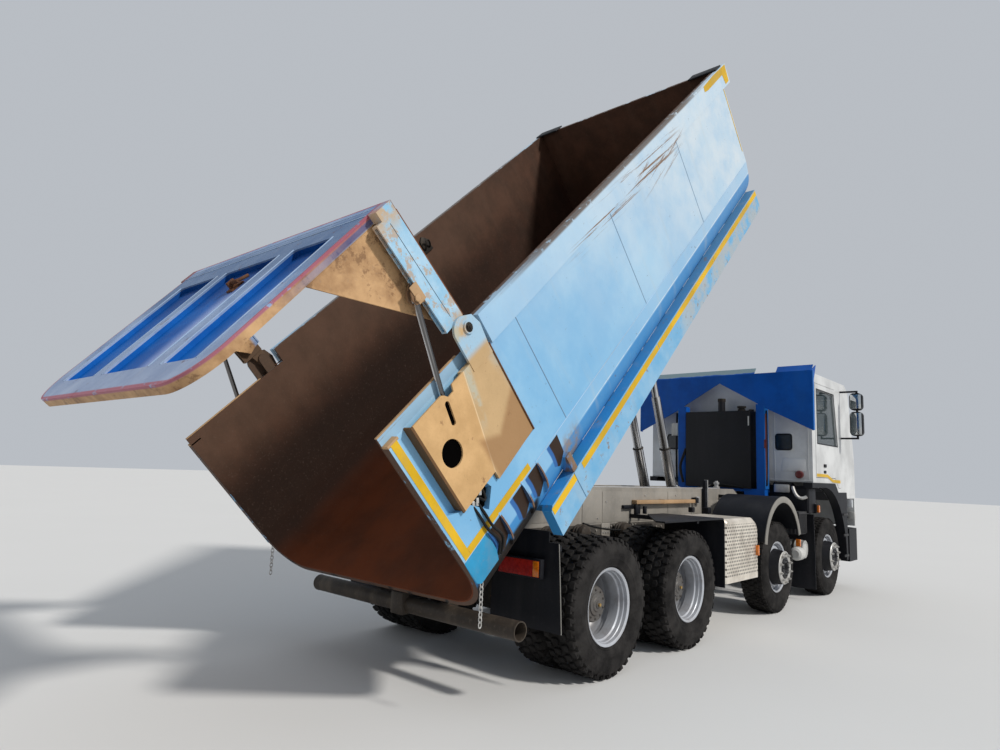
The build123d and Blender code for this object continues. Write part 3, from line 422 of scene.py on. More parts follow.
def weathered(name, colour, dust=(0.30, 0.26, 0.21), dirt=0.35, rust=0.0, rough=0.5, metal=0.0, speckle=0.5,
              rust_colour=(0.16, 0.06, 0.03), gloss=0.2):
    """Paint or plastic with blotches, dust, fine specks and some rust."""
    f = Finish(name, rough, metal, gloss)
    broad = f.noise(1.7, 5, 0.6)
    fine = f.noise(38, 4, 0.6)
    runs = f.noise(5, 3, 0.6, f.mapped(size=(1, 1, 7)))
    shade = tuple((c * 0.72 for c in colour))
    tone = f.mix(broad.step(0.35, 0.65), shade, colour)
    film = runs.step(0.45, 0.75) * 0.6 + fine.step(0.5, 0.8) * speckle
    tone = tone.coat(film * dirt, dust)
    if rust:
        spots = f.noise(9, 6, 0.7).step(0.72 - 0.22 * rust, 0.78 - 0.2 * rust) * 0.9
        tone = tone.coat(spots, rust_colour)
    f.colour(tone)
    f.rough(rough - 0.08 + fine * 0.22)
    f.bump(fine, 0.08, 0.004)
    return f.mat


def bed_paint():
    """The tub: sky-blue outside with faded and darker bands, painted shade and painted highlights; rust and
    earth inside.
    """
    f = Finish("bed paint", 0.5, gloss=0.2)
    turn = (0, -TILT, 0)
    a, y, b = f.split(f.mapped(at=BED_AT, turn=turn))
    wide = abs(y)
    # The inner skin lies within a rounded trough.
    out = (wide - 0.89).most(0.0)
    low = (0.365 - b).most(0.0)
    reach = (out * out + low * low).math("SQRT")
    inside = reach.step(0.3125, 0.3105) * a.step(5.6245, 5.6225)
    broad = f.noise(1.1, 5, 0.62)
    cloud = f.noise(3.4, 6, 0.65)
    fine = f.noise(60, 4, 0.65)
    runs = f.noise(4.0, 4, 0.6, f.mapped(at=BED_AT, turn=turn, size=(0.55, 1, 6)))
    scuffs = f.noise(6.0, 5, 0.7, f.mapped(at=BED_AT, turn=turn, size=(5, 1, 0.35)))
    scrapes = f.noise(5.0, 5, 0.75, f.mapped(at=BED_AT, turn=(0, -TILT + 0.05, 0), size=(9, 1, 0.17)))
    slants = f.noise(5.0, 5, 0.75, f.mapped(at=BED_AT, turn=(0, -TILT - 0.16, 0), size=(8, 1, 0.22)))
    sky = f.mix(broad.step(0.35, 0.65), (0.17, 0.4, 0.64), (0.27, 0.5, 0.7))
    height = a + (b - 1.2) * 1.5
    pale = height.step(-0.3, 4.8) * (0.55 + cloud.step(0.25, 0.7) * 0.45)
    tone = sky.coat(pale, (0.56, 0.64, 0.7))
    tone = tone.coat(b.band(0.335, 0.485) * 0.45, (0.24, 0.46, 0.7))
    # Below the fold the skin is painted a deep blue: painted shade under the wall.
    low_skin_shade = b.step(0.345, 0.325)
    tone = tone.coat(low_skin_shade * (0.75 + cloud * 0.25), (0.03, 0.21, 0.5))
    # Painted highlights: pale lines along the two folds, ahead of the rear.
    ahead = a.step(0.9, 1.5) * cloud.step(0.3, 0.55)
    fold_highlights = b.band(0.343, 0.351, 0.003).most(b.band(0.474, 0.48, 0.002) * 0.6)
    tone = tone.coat(fold_highlights * (ahead * 0.75), (0.7, 0.76, 0.8))
    rail = b.step(1.374, 1.384)
    tone = tone.coat(rail * 0.22, (0.52, 0.64, 0.74))
    tone = tone.coat(runs.step(0.52, 0.78) * 0.22, (0.46, 0.49, 0.48))
    brown = (0.2, 0.11, 0.06)
    tone = tone.coat(scuffs.step(0.66, 0.72) * (0.05 + rail * 0.7), brown)
    worn = a.band(1.9, 4.0, 0.3) * b.band(1.3, 1.52, 0.04) * scrapes.step(0.55, 0.59)
    across = a.band(3.1, 4.2, 0.2) * b.band(1.22, 1.48, 0.05) * slants.step(0.56, 0.6)
    tone = tone.coat(worn.most(across) * 0.95, (0.2, 0.11, 0.055))
    edge = b.step(1.562, 1.584) * (a.step(0.6, 1.6) * a.step(5.3, 4.4))
    edge = edge * f.noise(9, 5, 0.7).step(0.34, 0.44)
    tone = tone.coat(edge * 0.9, (0.12, 0.085, 0.06))
    marks = f.noise(14, 6, 0.8).step(0.655, 0.67) * 0.7
    tone = tone.coat(marks, (0.13, 0.1, 0.09))
    tone = tone.coat(fine.step(0.58, 0.78) * 0.25, (0.33, 0.37, 0.4))
    # What stands out of the trough's side: brackets caked in earth, and the splashed paint around them.
    bracket = reach.step(0.3655, 0.3675) * b.step(0.478, 0.47)
    tone = tone.coat(bracket * cloud.step(0.62, 0.5), (0.17, 0.1, 0.06))
    splash = a.band(0.74, 0.98, 0.06) * b.step(0.44, 0.3) * cloud.step(0.4, 0.52)
    tone = tone.coat(splash * 0.85, (0.27, 0.2, 0.14))
    # Near-black low at the rear: painted shade on the underside.
    under = a.step(0.36, 0.28) * b.step(0.275, 0.235)
    tone = tone.coat(under, (0.012, 0.01, 0.009))
    # Painted shade behind each bracket: dark brown for its shaded rear face, and a blue strip of painted
    # shadow beside it.
    bend = (0.3 - b).most(0.0) * 1.1
    for at in (-0.085, 0.204, 0.415, 0.730):
        behind = a - at
        low_edge = (b + behind * 0.741).step(0.168, 0.176)
        face = low_edge * (b.step(0.467, 0.461) * (behind + bend).step(0.003, -0.002))
        lean = behind - b.step(0.463, 0.36) * 0.012
        tone = tone.coat(face * lean.band(-0.16, 0.02, 0.006), (0.03, 0.125, 0.36))
        tone = tone.coat(face * lean.band(-0.122, 0.02, 0.006), (0.03, 0.016, 0.009))
    for seam in (0.895, 2.490, 4.086):
        line = a.band(seam - 0.004, seam + 0.004, 0.002) * b.band(0.485, 1.38)
        tone = tone.coat(line * 0.7, (0.06, 0.12, 0.2))
    rim = (b.step(1.4665, 1.4685) * wide.step(1.236, 1.222)).most(a.step(-0.4965, -0.4985))
    tone = tone.coat(rim * f.noise(7, 5, 0.7).step(0.36, 0.46), (0.09, 0.05, 0.032))
    rust = f.mix(cloud.step(0.3, 0.75), (0.034, 0.015, 0.008), (0.07, 0.028, 0.015))
    rust = rust.coat(runs.step(0.45, 0.8) * 0.25, (0.105, 0.06, 0.04))
    bare = b.step(0.5, 0.12) * (0.45 + broad.step(0.38, 0.6) * 0.55)
    rust = rust.coat(bare * 0.9, (0.15, 0.038, 0.012))
    # Lighter brown high on the walls and towards the front: dry earth, and painted light where the walls lie
    # in shadow.
    dry_and_lit = b.step(0.75, 1.4) * a.step(6.5, 2.5)
    rust = rust.coat(dry_and_lit * (0.3 + cloud * 0.5), (0.115, 0.068, 0.046))
    shade = y.step(0.5, 1.0) * (b.step(1.2, 0.75) * b.step(0.06, 0.3))
    rust = rust.coat(shade * (0.5 + a.step(4.5, 1.5) * 0.4), (0.012, 0.005, 0.0025))
    rust = rust.coat(fine.step(0.55, 0.8) * 0.35, (0.14, 0.1, 0.08))
    f.colour(tone.coat(inside, rust))
    f.rough(inside * 0.26 + (0.4 + fine * 0.2))
    dents = f.noise(2.2, 3, 0.5)
    f.bump(dents * 1.0 + fine * 0.06, 0.28, 0.03)
    return f.mat


def housing_paint():
    """Dusty tan covers with painted shade behind and below the fold and a painted highlight on its ridge,
    with blue paint showing at their front edge.
    """
    f = Finish("housing paint", 0.65, gloss=0.15)
    a, y, b = f.split(f.mapped(at=BED_AT, turn=(0, -TILT, 0)))
    cloud = f.noise(5, 6, 0.65)
    fine = f.noise(70, 4, 0.6)
    tone = f.mix(cloud.step(0.3, 0.7), (0.5, 0.31, 0.14), (0.63, 0.4, 0.19))
    # Ahead of the fold, whose foot is at a = 0.054, the sheet is greener and speckled.
    off = a - (0.054 + (b - 0.73) * 0.27)
    tone = tone.coat(off.step(-0.002, 0.004) * 0.6, (0.44, 0.32, 0.18))
    # A painted highlight runs along the fold's ridge.
    tone = tone.coat(off.band(-0.008, 0.002, 0.003) * 0.6, (0.74, 0.57, 0.36))
    flaked = off.band(0.0, 0.07, 0.02) * (b.step(0.95, 1.15) * cloud.step(0.42, 0.55))
    tone = tone.coat(flaked * 0.7, (0.42, 0.45, 0.38))
    # The wedge in front of the fold's foot is darker: painted shade below the fold.
    wedge_shade = (b + abs(a - 0.25) * -0.55).step(0.91, 0.84) * a.step(0.03, 0.09)
    tone = tone.coat(wedge_shade * 0.7, (0.27, 0.14, 0.06))
    # The covers' rear faces are painted dark brown: painted shade.
    tone = tone.coat(a.step(-0.3, -0.303) * 0.9, (0.085, 0.04, 0.018))
    faded = a + (b - 1.0) * 0.22
    tone = tone.coat(faded.step(0.52, 0.62) * (cloud.step(0.36, 0.62) * 0.6), (0.36, 0.44, 0.44))
    tone = tone.coat(b.step(1.4, 1.46) * cloud.step(0.66, 0.46), (0.33, 0.5, 0.64))
    # The far ear shows its rusty inner side.
    inner = y.step(1.0, 1.05) * y.step(1.27, 1.266) * b.step(1.4, 1.43)
    tone = tone.coat(inner, (0.085, 0.055, 0.038))
    tone = tone.coat(f.noise(11, 6, 0.7).step(0.62, 0.68) * 0.6, (0.19, 0.09, 0.045))
    tone = tone.coat(fine.step(0.55, 0.8) * 0.3, (0.28, 0.18, 0.1))
    f.colour(tone)
    f.bump(cloud + fine * 0.2, 0.25, 0.01)
    return f.mat


def underframe_paint():
    """The side rails' strong blue tops and paler, worn outer faces; darker blue between them."""
    f = Finish("underframe paint", 0.5, gloss=0.2)
    turn = (0, -TILT, 0)
    a, y, _ = f.split(f.mapped(at=BED_AT, turn=turn))
    wide = abs(y)
    cloud = f.noise(4, 6, 0.65)
    fine = f.noise(60, 4, 0.65)
    runs = f.noise(5, 3, 0.6, f.mapped(at=BED_AT, turn=turn, size=(1, 1, 7)))
    top = f.mix(a.step(1.0, 4.6), (0.035, 0.25, 0.56), (0.1, 0.26, 0.43))
    side = f.mix(cloud.step(0.3, 0.7), (0.14, 0.37, 0.6), (0.25, 0.45, 0.63))
    side = side.coat(a.step(2.6, 3.3) * (cloud.step(0.38, 0.55) * 0.8), (0.38, 0.4, 0.4))
    tone = top.coat(wide.step(1.2465, 1.2485), side)
    tone = tone.coat(wide.step(1.05, 0.98), (0.06, 0.19, 0.36))
    tone = tone.coat(runs.step(0.52, 0.8) * 0.35, (0.36, 0.37, 0.36))
    tone = tone.coat(f.noise(10, 6, 0.75).step(0.6, 0.64) * 0.75, (0.24, 0.16, 0.1))
    tone = tone.coat(fine.step(0.58, 0.8) * 0.3, (0.3, 0.32, 0.33))
    f.colour(tone)
    f.bump(f.noise(2.5, 3, 0.5) + fine * 0.06, 0.25, 0.02)
    return f.mat


def guard_paint():
    """Royal blue with light dust; the long lip on top is bleached to a grey green."""
    colour = tuple(bpy.context.scene.truck_colours.guard)
    f = Finish("guard paint", 0.42, gloss=0.2)
    _, y, z = f.split()
    fine = f.noise(38, 4, 0.6)
    cloud = f.noise(3, 5, 0.65)
    runs = f.noise(5, 3, 0.6, f.mapped(size=(1, 1, 7)))
    tone = f.mix(cloud.step(0.35, 0.65), tuple((c * 0.78 for c in colour)), colour)
    tone = tone.coat(runs.step(0.45, 0.75) * 0.25, (0.02, 0.1, 0.3))
    tone = tone.coat(fine.step(0.55, 0.8) * 0.2, (0.03, 0.13, 0.34))
    height = z + (cloud - 0.5) * 0.06
    lip = height.step(3.092, 3.1) * y.step(-0.6, -0.58)
    tone = tone.coat(lip * 0.9, (0.21, 0.29, 0.29))
    f.colour(tone)
    f.bump(cloud + fine * 0.05, 0.2, 0.02)
    return f.mat


def rim_paint():
    """Silver paint with brownish grime, darker deep in the rear dishes."""
    f = Finish("silver rim paint", 0.38, 0.35)
    x, y, _ = f.split()
    cloud = f.noise(6, 6, 0.65)
    tone = f.mix(cloud.step(0.42, 0.75) * 0.5, (0.47, 0.49, 0.53), (0.17, 0.15, 0.14))
    deep = x.step(vx(3.0), vx(2.6)) * abs(y).step(REAR_Y - 0.085, REAR_Y - 0.15)
    f.colour(tone.coat(deep * 0.75, (0.105, 0.095, 0.088)))
    f.rough(0.38 + cloud.step(0.4, 0.8) * 0.3)
    f.bump(f.noise(50, 4, 0.6), 0.05, 0.002)
    return f.mat


def gate_paint():
    """The tailgate: pale frame, royal-blue bays that fade to one side, red rim, earth inside, blue arms."""
    f = Finish("tailgate paint", 0.5, gloss=0.12)
    turn = (0, -(TILT + pi - GATE), 0)
    g, y, c = f.split(f.mapped(at=PIVOT, turn=turn))
    c = c * -1.0
    wide = abs(y)
    cloud = f.noise(4.5, 6, 0.65)
    fine = f.noise(60, 4, 0.65)
    chips = f.noise(8, 6, 0.75)
    drag = f.noise(5, 5, 0.65, f.mapped(at=PIVOT, turn=turn, size=(1, 0.5, 4)))
    steel = f.mix(cloud.step(0.3, 0.7), (0.16, 0.25, 0.44), (0.3, 0.4, 0.58))
    steel = steel.coat(drag.step(0.55, 0.75) * 0.5, (0.45, 0.48, 0.55))
    steel = steel.coat(c.step(-0.9, -1.5) * 0.35, (0.4, 0.42, 0.5))
    # The end near the hinge is darker: dirt, and painted shade on the bays' top walls.
    head = c.step(-0.72, -0.38) * c.step(0.0, -0.1)
    steel = steel.coat(head * 0.6, (0.055, 0.11, 0.22))
    steel = steel.coat(chips.step(0.61, 0.66) * 0.7, (0.13, 0.06, 0.05))
    royal = f.mix(cloud.step(0.3, 0.7), (0.0005, 0.076, 0.33), (0.002, 0.115, 0.44))
    royal = royal.coat(head * 0.6, (0.0005, 0.02, 0.115))
    fade = (y.step(-0.02, -0.36) * y.step(-0.5, -0.46)).most(y.step(-0.76, -1.02) * 0.65)
    fade = fade.most(y.step(0.62, 0.36) * y.step(0.3, 0.34) * 0.4)
    fade = fade * c.step(-0.36, -0.68)
    royal = royal.coat(fade * (0.66 + cloud * 0.34), (0.52, 0.6, 0.84))
    royal = royal.coat(chips.step(0.66, 0.69) * 0.8, (0.1, 0.06, 0.05))
    bay = g.step(0.8895, 0.8885) * g.step(0.845, 0.848)
    tone = steel.coat(bay, royal)
    # How far a place lies outside the panel's inner field, rounded at the lower corners.
    aside = (wide - 0.89).most(0.0)
    below = (-1.213 - c).most(0.0)
    reach = (aside * aside + below * below).math("SQRT")
    rim = c.step(-1.468, -1.478).most(c.step(0.02, 0.028))
    rim = reach.step(0.268, 0.276).most(rim)
    worn = f.noise(13, 5, 0.7).step(0.34, 0.42)
    tone = tone.coat(rim * worn * (g.step(0.872, 0.88) * 0.85), (0.36, 0.085, 0.105))
    earth = f.mix(cloud.step(0.3, 0.7), (0.3, 0.17, 0.085), (0.56, 0.35, 0.18))
    earth = earth.coat(chips.step(0.55, 0.62) * 0.6, (0.16, 0.085, 0.045))
    shut_side = g.step(0.842, 0.839) * c.step(0.02, -0.02)
    edge_side = g.step(0.89, 0.88) * reach.step(0.2862, 0.2872)
    foot = 0.25 + c.step(-0.2, -1.0) * 0.75
    tone = tone.coat(shut_side.most(edge_side * foot), earth)
    # The arms beside the opening keep their pale blue, worn through at both ends.
    arm = wide.step(1.1835, 1.1845) * c.step(-0.1515, -0.1495) * g.step(0.902, 0.898)
    ends = g.step(0.7, 0.86).most(g.step(0.16, 0.06))
    blue = f.mix(cloud.step(0.3, 0.7), (0.24, 0.47, 0.66), (0.42, 0.6, 0.74))
    blue = blue.coat(chips.step(0.53, 0.57) * 0.75, (0.44, 0.31, 0.2))
    blue = blue.coat(ends * cloud.step(0.38, 0.52), (0.48, 0.36, 0.24))
    blue = blue.coat(y.step(1.0, 1.05) * y.step(1.254, 1.252), (0.11, 0.07, 0.045))
    outer = wide.step(1.254, 1.2546)
    seam = outer * c.band(-0.058, -0.053, 0.001) * g.band(0.13, 0.8)
    blue = blue.coat(seam, (0.035, 0.055, 0.075))
    blue = blue.coat(outer * c.step(0.0355, 0.0375), (0.16, 0.065, 0.03))
    tone = tone.coat(arm, blue)
    # The forks that hold the rod eyes are caked.
    fork = wide.step(1.205, 1.207) * c.step(-0.15, -0.154) * g.band(0.3, 0.48)
    tone = tone.coat(fork, (0.2, 0.12, 0.07))
    dust = fine.step(0.58, 0.78) * (0.3 - bay * 0.22)
    tone = tone.coat(dust, (0.22, 0.2, 0.18))
    f.colour(tone)
    f.bump(f.noise(3, 3, 0.5) + fine * 0.08, 0.25, 0.02)
    return f.mat


def rubber(name, dust=0.5):
    f = Finish(name, 0.85, gloss=0.12)
    cloud = f.noise(7, 5, 0.65)
    fine = f.noise(90, 4, 0.6)
    tone = f.mix(fine.step(0.3, 0.8), (0.007, 0.0065, 0.0065), (0.016, 0.015, 0.015))
    tone = tone.coat(cloud.step(0.36, 0.74) * dust, (0.05, 0.047, 0.045))
    # Broad lighter grey patches: dust, and a painted sheen.
    tone = tone.coat(f.noise(2.3, 4, 0.6).step(0.46, 0.66) * 0.45, (0.044, 0.041, 0.04))
    f.colour(tone)
    f.bump(fine, 0.12, 0.003)
    return f.mat


def bare_metal(name, colour, rough=0.32, metal=1.0, grime=(0.10, 0.08, 0.06), amount=0.4):
    f = Finish(name, rough, metal)
    cloud = f.noise(6, 6, 0.65)
    fine = f.noise(50, 4, 0.6)
    f.colour(f.mix(cloud.step(0.42, 0.75) * amount, colour, grime))
    f.rough(rough + cloud.step(0.4, 0.8) * 0.3)
    f.bump(fine, 0.05, 0.002)
    return f.mat


def polished(name, foot, head):
    """A rod's dull chrome with long light and dark streaks from its foot to its head: painted reflections."""
    f = Finish(name, 0.2, 1.0)
    way = head - foot
    reflected_streaks = f.noise(26, 2, 0.5, f.mapped(at=foot, turn=(0, atan2(way.x, way.z), 0), size=(1, 1, 40)))
    cloud = f.noise(4, 4, 0.6)
    f.colour(f.mix(reflected_streaks.step(0.44, 0.57) * 0.85, (0.62, 0.62, 0.63), (0.07, 0.065, 0.062)))
    f.rough(0.16 + cloud * 0.2)
    f.bump(reflected_streaks, 0.03, 0.002)
    return f.mat


def perforated(name, colour):
    """Dull sheet with rows of punched holes."""
    f = Finish(name, 0.42, 0.6)
    x, y, z = f.split()
    line = z / 0.035
    place = (x + y) / 0.045 + line.math("FLOOR") * 0.5
    cells = [v.math("FRACT") - 0.5 for v in (place, line)]
    reach = (cells[0] * cells[0] + cells[1] * cells[1]).math("SQRT")
    field = z.band(0.56, 1.1) * abs(y).step(0.63, 0.65)
    hole = reach.step(0.33, 0.27) * field
    cloud = f.noise(6, 5, 0.6)
    tone = f.mix(cloud.step(0.35, 0.7) * 0.5, colour, (0.36, 0.31, 0.25))
    f.colour(tone.coat(hole * 0.85, (0.07, 0.06, 0.05)))
    f.bump(hole * -1.0, 0.5, 0.004)
    return f.mat


def window_glass():
    f = Finish("window glass", 0.03, gloss=0.5)
    f.shader.inputs["Base Color"].default_value = (0.04, 0.06, 0.065, 1)
    f.shader.inputs["Transmission Weight"].default_value = 0.0
    f.shader.inputs["Alpha"].default_value = 0.55
    f.shader.inputs["Coat Weight"].default_value = 0.6
    f.bump(f.noise(3, 2, 0.5), 0.03, 0.003)
    return f.mat


def lens(name, colour):
    """A ribbed plastic lamp lens."""
    f = Finish(name, 0.18, gloss=0.5)
    x, y, _ = f.split()
    ribs = ((y + x) * 420).math("SINE")
    tone = f.mix(f.noise(40, 3).step(0.3, 0.75), colour, tuple((c * 0.6 for c in colour)))
    # The lamps in the front bumper have clear glass.
    f.colour(tone.coat(x.step(4.5, 4.6), (0.55, 0.57, 0.6)))
    f.shader.inputs["Coat Weight"].default_value = 0.5
    f.bump(ribs, 0.25, 0.002)
    return f.mat


# Weathered finishes: name, colour, dust, dirt, rust, roughness, metal, and anything else by its name
WEATHERED = {
    "chassis": ("chassis paint", (0.075, 0.068, 0.062), (0.22, 0.2, 0.17), 0.6, 0.4),
    "subframe": ("subframe paint", (0.3, 0.28, 0.25), (0.42, 0.37, 0.31), 0.6, 0.25),
    "iron": ("oily iron", (0.03, 0.026, 0.023), (0.12, 0.095, 0.07), 0.6, 0.3, 0.6, 0.3),
    "tank": ("tank paint", (0.0065, 0.0065, 0.009), (0.05, 0.048, 0.05), 0.22, {"rough": 0.35, "gloss": 0.3}),
    "tube": ("tube paint", (0.05, 0.04, 0.032), (0.19, 0.15, 0.11), 0.6, 0.3),
    "plastic": ("black plastic", (0.006, 0.007, 0.011), (0.06, 0.058, 0.06), 0.3, {"gloss": 0.25}),
    "grey plastic": ("grey plastic", (0.035, 0.035, 0.038), (0.12, 0.11, 0.1), 0.4),
    "fabric": ("seat cloth", (0.05, 0.05, 0.06), (0.12, 0.11, 0.1), 0.3, {"rough": 0.9}),
    "hose": ("hose rubber", (0.008, 0.008, 0.008), (0.08, 0.07, 0.06), 0.35),
    "sky": ("sky paint", (0.035, 0.33, 0.6), (0.24, 0.24, 0.22), 0.4, 0.2, 0.45),
    "faded sky": ("faded sky paint", (0.38, 0.56, 0.74), (0.4, 0.42, 0.42), 0.4, 0.3, 0.45),
    "pale blue": ("pale blue paint", (0.34, 0.46, 0.64), (0.34, 0.33, 0.3), 0.4, 0.2, 0.5),
    # A lighter copy of the guard paint for the flanges: painted sunlight.
    "sunlit guard": ("light guard paint", (0.006, 0.14, 0.5), (0.1, 0.18, 0.34), 0.3, {"rough": 0.4}),
    "rust": ("rusty steel", (0.13, 0.055, 0.028), (0.26, 0.16, 0.1), 0.6, 0.4, 0.8, 0.1),
    "tan": ("tan dust", (0.48, 0.31, 0.17), (0.28, 0.18, 0.11), 0.5, 0.4, 0.8),
    "wood": ("weathered strap", (0.42, 0.27, 0.15), (0.5, 0.4, 0.28), 0.5, 0.1, 0.8),
    "white": ("white enamel", (0.62, 0.62, 0.6), (0.3, 0.27, 0.22), 0.5, 0.1, 0.4),
    "grey edge": ("dusty edge", (0.26, 0.25, 0.23), (0.36, 0.33, 0.29), 0.5, {"rough": 0.7}),
    "void": ("unlit inside", (0.002, 0.002, 0.002), (0.004, 0.003, 0.003), 0.3, {"gloss": 0.0}),
}
# Metals: name, colour, roughness, metal, grime and its amount
METALS = {
    "hub": ("hub iron", (0.115, 0.11, 0.105), 0.5, 0.25, (0.085, 0.06, 0.045), 0.7),
    "alloy": ("dull alloy", (0.55, 0.54, 0.52), 0.42, 0.7),
    "brass": ("brass plug", (0.5, 0.33, 0.12), 0.4, 0.8),
    "mirror": ("mirror glass", (0.55, 0.57, 0.58), 0.04, 1.0, (0.3, 0.3, 0.3), 0.1),
}
LENSES = {
    "red lens": ("red lens", (0.45, 0.02, 0.012)),
    "amber lens": ("amber lens", (0.78, 0.2, 0.008)),
    "clear lens": ("clear lens", (0.75, 0.76, 0.78)),
    "dark red": ("dark red lens", (0.13, 0.012, 0.01)),
    "dark glass": ("dark glass", (0.008, 0.012, 0.016)),
}
FINISHES = {}


def finish_of(name):
    """Each finish is made once, from the colours in the panel."""
    if name in FINISHES:
        return FINISHES[name]
    c = bpy.context.scene.truck_colours
    for table, make in ((WEATHERED, weathered), (METALS, bare_metal), (LENSES, lens)):
        if name in table:
            values = list(table[name])
            named = values.pop() if isinstance(values[-1], dict) else {}
            FINISHES[name] = make(*values, **named)
            return FINISHES[name]
    FINISHES[name] = {
        "bed": bed_paint,
        "housing": housing_paint,
        "gate": gate_paint,
        "cab": lambda: weathered("cab paint", tuple(c.cab), (0.40, 0.37, 0.33), 0.13, rough=0.32, gloss=0.4),
        "guard": guard_paint,
        "underframe": underframe_paint,
        "rubber": lambda: rubber("tyre rubber"),
        "rim": rim_paint,
        "chrome": lambda: polished("polished stage", row(3.095, 0, 1.150), bed(4.152, 0, -0.131)),
        "ram chrome": lambda: polished("polished ram rod", bed(-0.190, 0, 0.740), gate(0.370, 0, -0.190)),
        "perforated": lambda: perforated("perforated cover", (0.82, 0.76, 0.67)),
        "glass": window_glass,
        "yellow": lambda: weathered("yellow tape", tuple(c.tape), (0.30, 0.24, 0.12), 0.45, 0.1, 0.4),
    }[name]()
    return FINISHES[name]


# CAD node names by their finish.
NODE_FINISH = {
    "bed": ["bed_tub"], "housing": ["bed_housings"], "gate": ["tailgate"], "underframe": ["bed_underframe"],
    "cab": ["cab_shell", "door_left", "door_right"], "guard": ["cab_guard"],
    "chassis": ["chassis_frame"], "subframe": ["subframe"], "tube": ["underrun_bar"],
    "iron": ["engine_block", "front_axles", "rear_axles", "springs",
             *(f"knuckle_{n}_{hand}" for n in "12" for hand in HANDS)],
    "tank": ["hydraulic_tank", "gate_barrels", "hoist_barrels"],
    "plastic": ["mudguards", "cab_steps", "mirrors", "front_bumper"],
    "grey plastic": ["grille", "battery_box", "dashboard"],
    "fabric": ["seats"], "alloy": ["side_tanks"], "perforated": ["silencer_cover"],
    "glass": ["cab_glass", "door_glass_left", "door_glass_right"], "red lens": ["lamps"],
    "chrome": ["gate_rods", "hoist_stage_1", "hoist_stage_2", "hoist_stage_3", "hoist_stage_4"],
}


class TruckColours(bpy.types.PropertyGroup):
    cab: bpy.props.FloatVectorProperty(name="Cab", description="Cab paint", subtype="COLOR", size=3,
                                       default=(0.66, 0.67, 0.67), min=0, max=1)
    guard: bpy.props.FloatVectorProperty(name="Cab guard", description="Paint of the panel behind the cab",
                                         subtype="COLOR", size=3, default=(0.002, 0.085, 0.41), min=0, max=1)
    tape: bpy.props.FloatVectorProperty(name="Tape", description="Marking tape along the bed",
                                        subtype="COLOR", size=3, default=(0.72, 0.44, 0.015), min=0, max=1)


class TruckSizes(bpy.types.PropertyGroup):
    lug_height: bpy.props.FloatProperty(name="Lug height", description="How far tread blocks stand proud",
                                        default=0.019, unit="LENGTH", min=0.004, max=0.03)
    tape_thick: bpy.props.FloatProperty(name="Tape thickness", description="Thickness of the marking tape",
                                        default=0.002, unit="LENGTH", min=0.0005, max=0.004)


class TRUCK_OT_paint(bpy.types.Operator):
    """Paint the CAD pieces that stay in view"""
    bl_idname = "truck.paint"
    bl_label = "Paint the frame"

    def execute(self, context):
        for name, members in NODE_FINISH.items():
            for member in members:
                dress(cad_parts[member], name)
        return {"FINISHED"}


def wheel_lathe(profile, x, y, sign, steps=64):
    """A profile turned round a wheel's axle, measured outward from the wheel's middle plane."""
    return lathe(profile, (x, sign * y, TYRE_R), (0, sign, 0), steps)


def carcass(y, sign, x, base):
    """One tyre's body under its tread, with bead, rings and shoulder."""
    half = [(0, base), (0.06, base), (0.105, base - 0.003), (0.126, base - 0.014), (0.136, 0.5),
            (0.1375, 0.494), (0.146, 0.47), (0.147, 0.466), (0.1525, 0.44), (0.1545, 0.42), (0.1525, 0.4),
            (0.148, 0.376), (0.149, 0.372), (0.146, 0.366), (0.139, 0.34), (0.132, 0.322), (0.134, 0.317),
            (0.128, 0.309), (0.112, 0.3), (0.111, 0.287)]
    profile = half + [(-s, r) for s, r in reversed(half)][:-1]
    return wheel_lathe(profile, x, y, sign, 72)


def lug(points, x, y, sign, low, high):
    """One tread block: an outline of (across, along the tread) raised from low to high."""
    at = axes(Vector((x, sign * y, TYRE_R + low)), Vector((0, sign, 0)), AHEAD * -sign)
    o = plate(points, at, high - low)
    return soften(o, 0.003, 1)


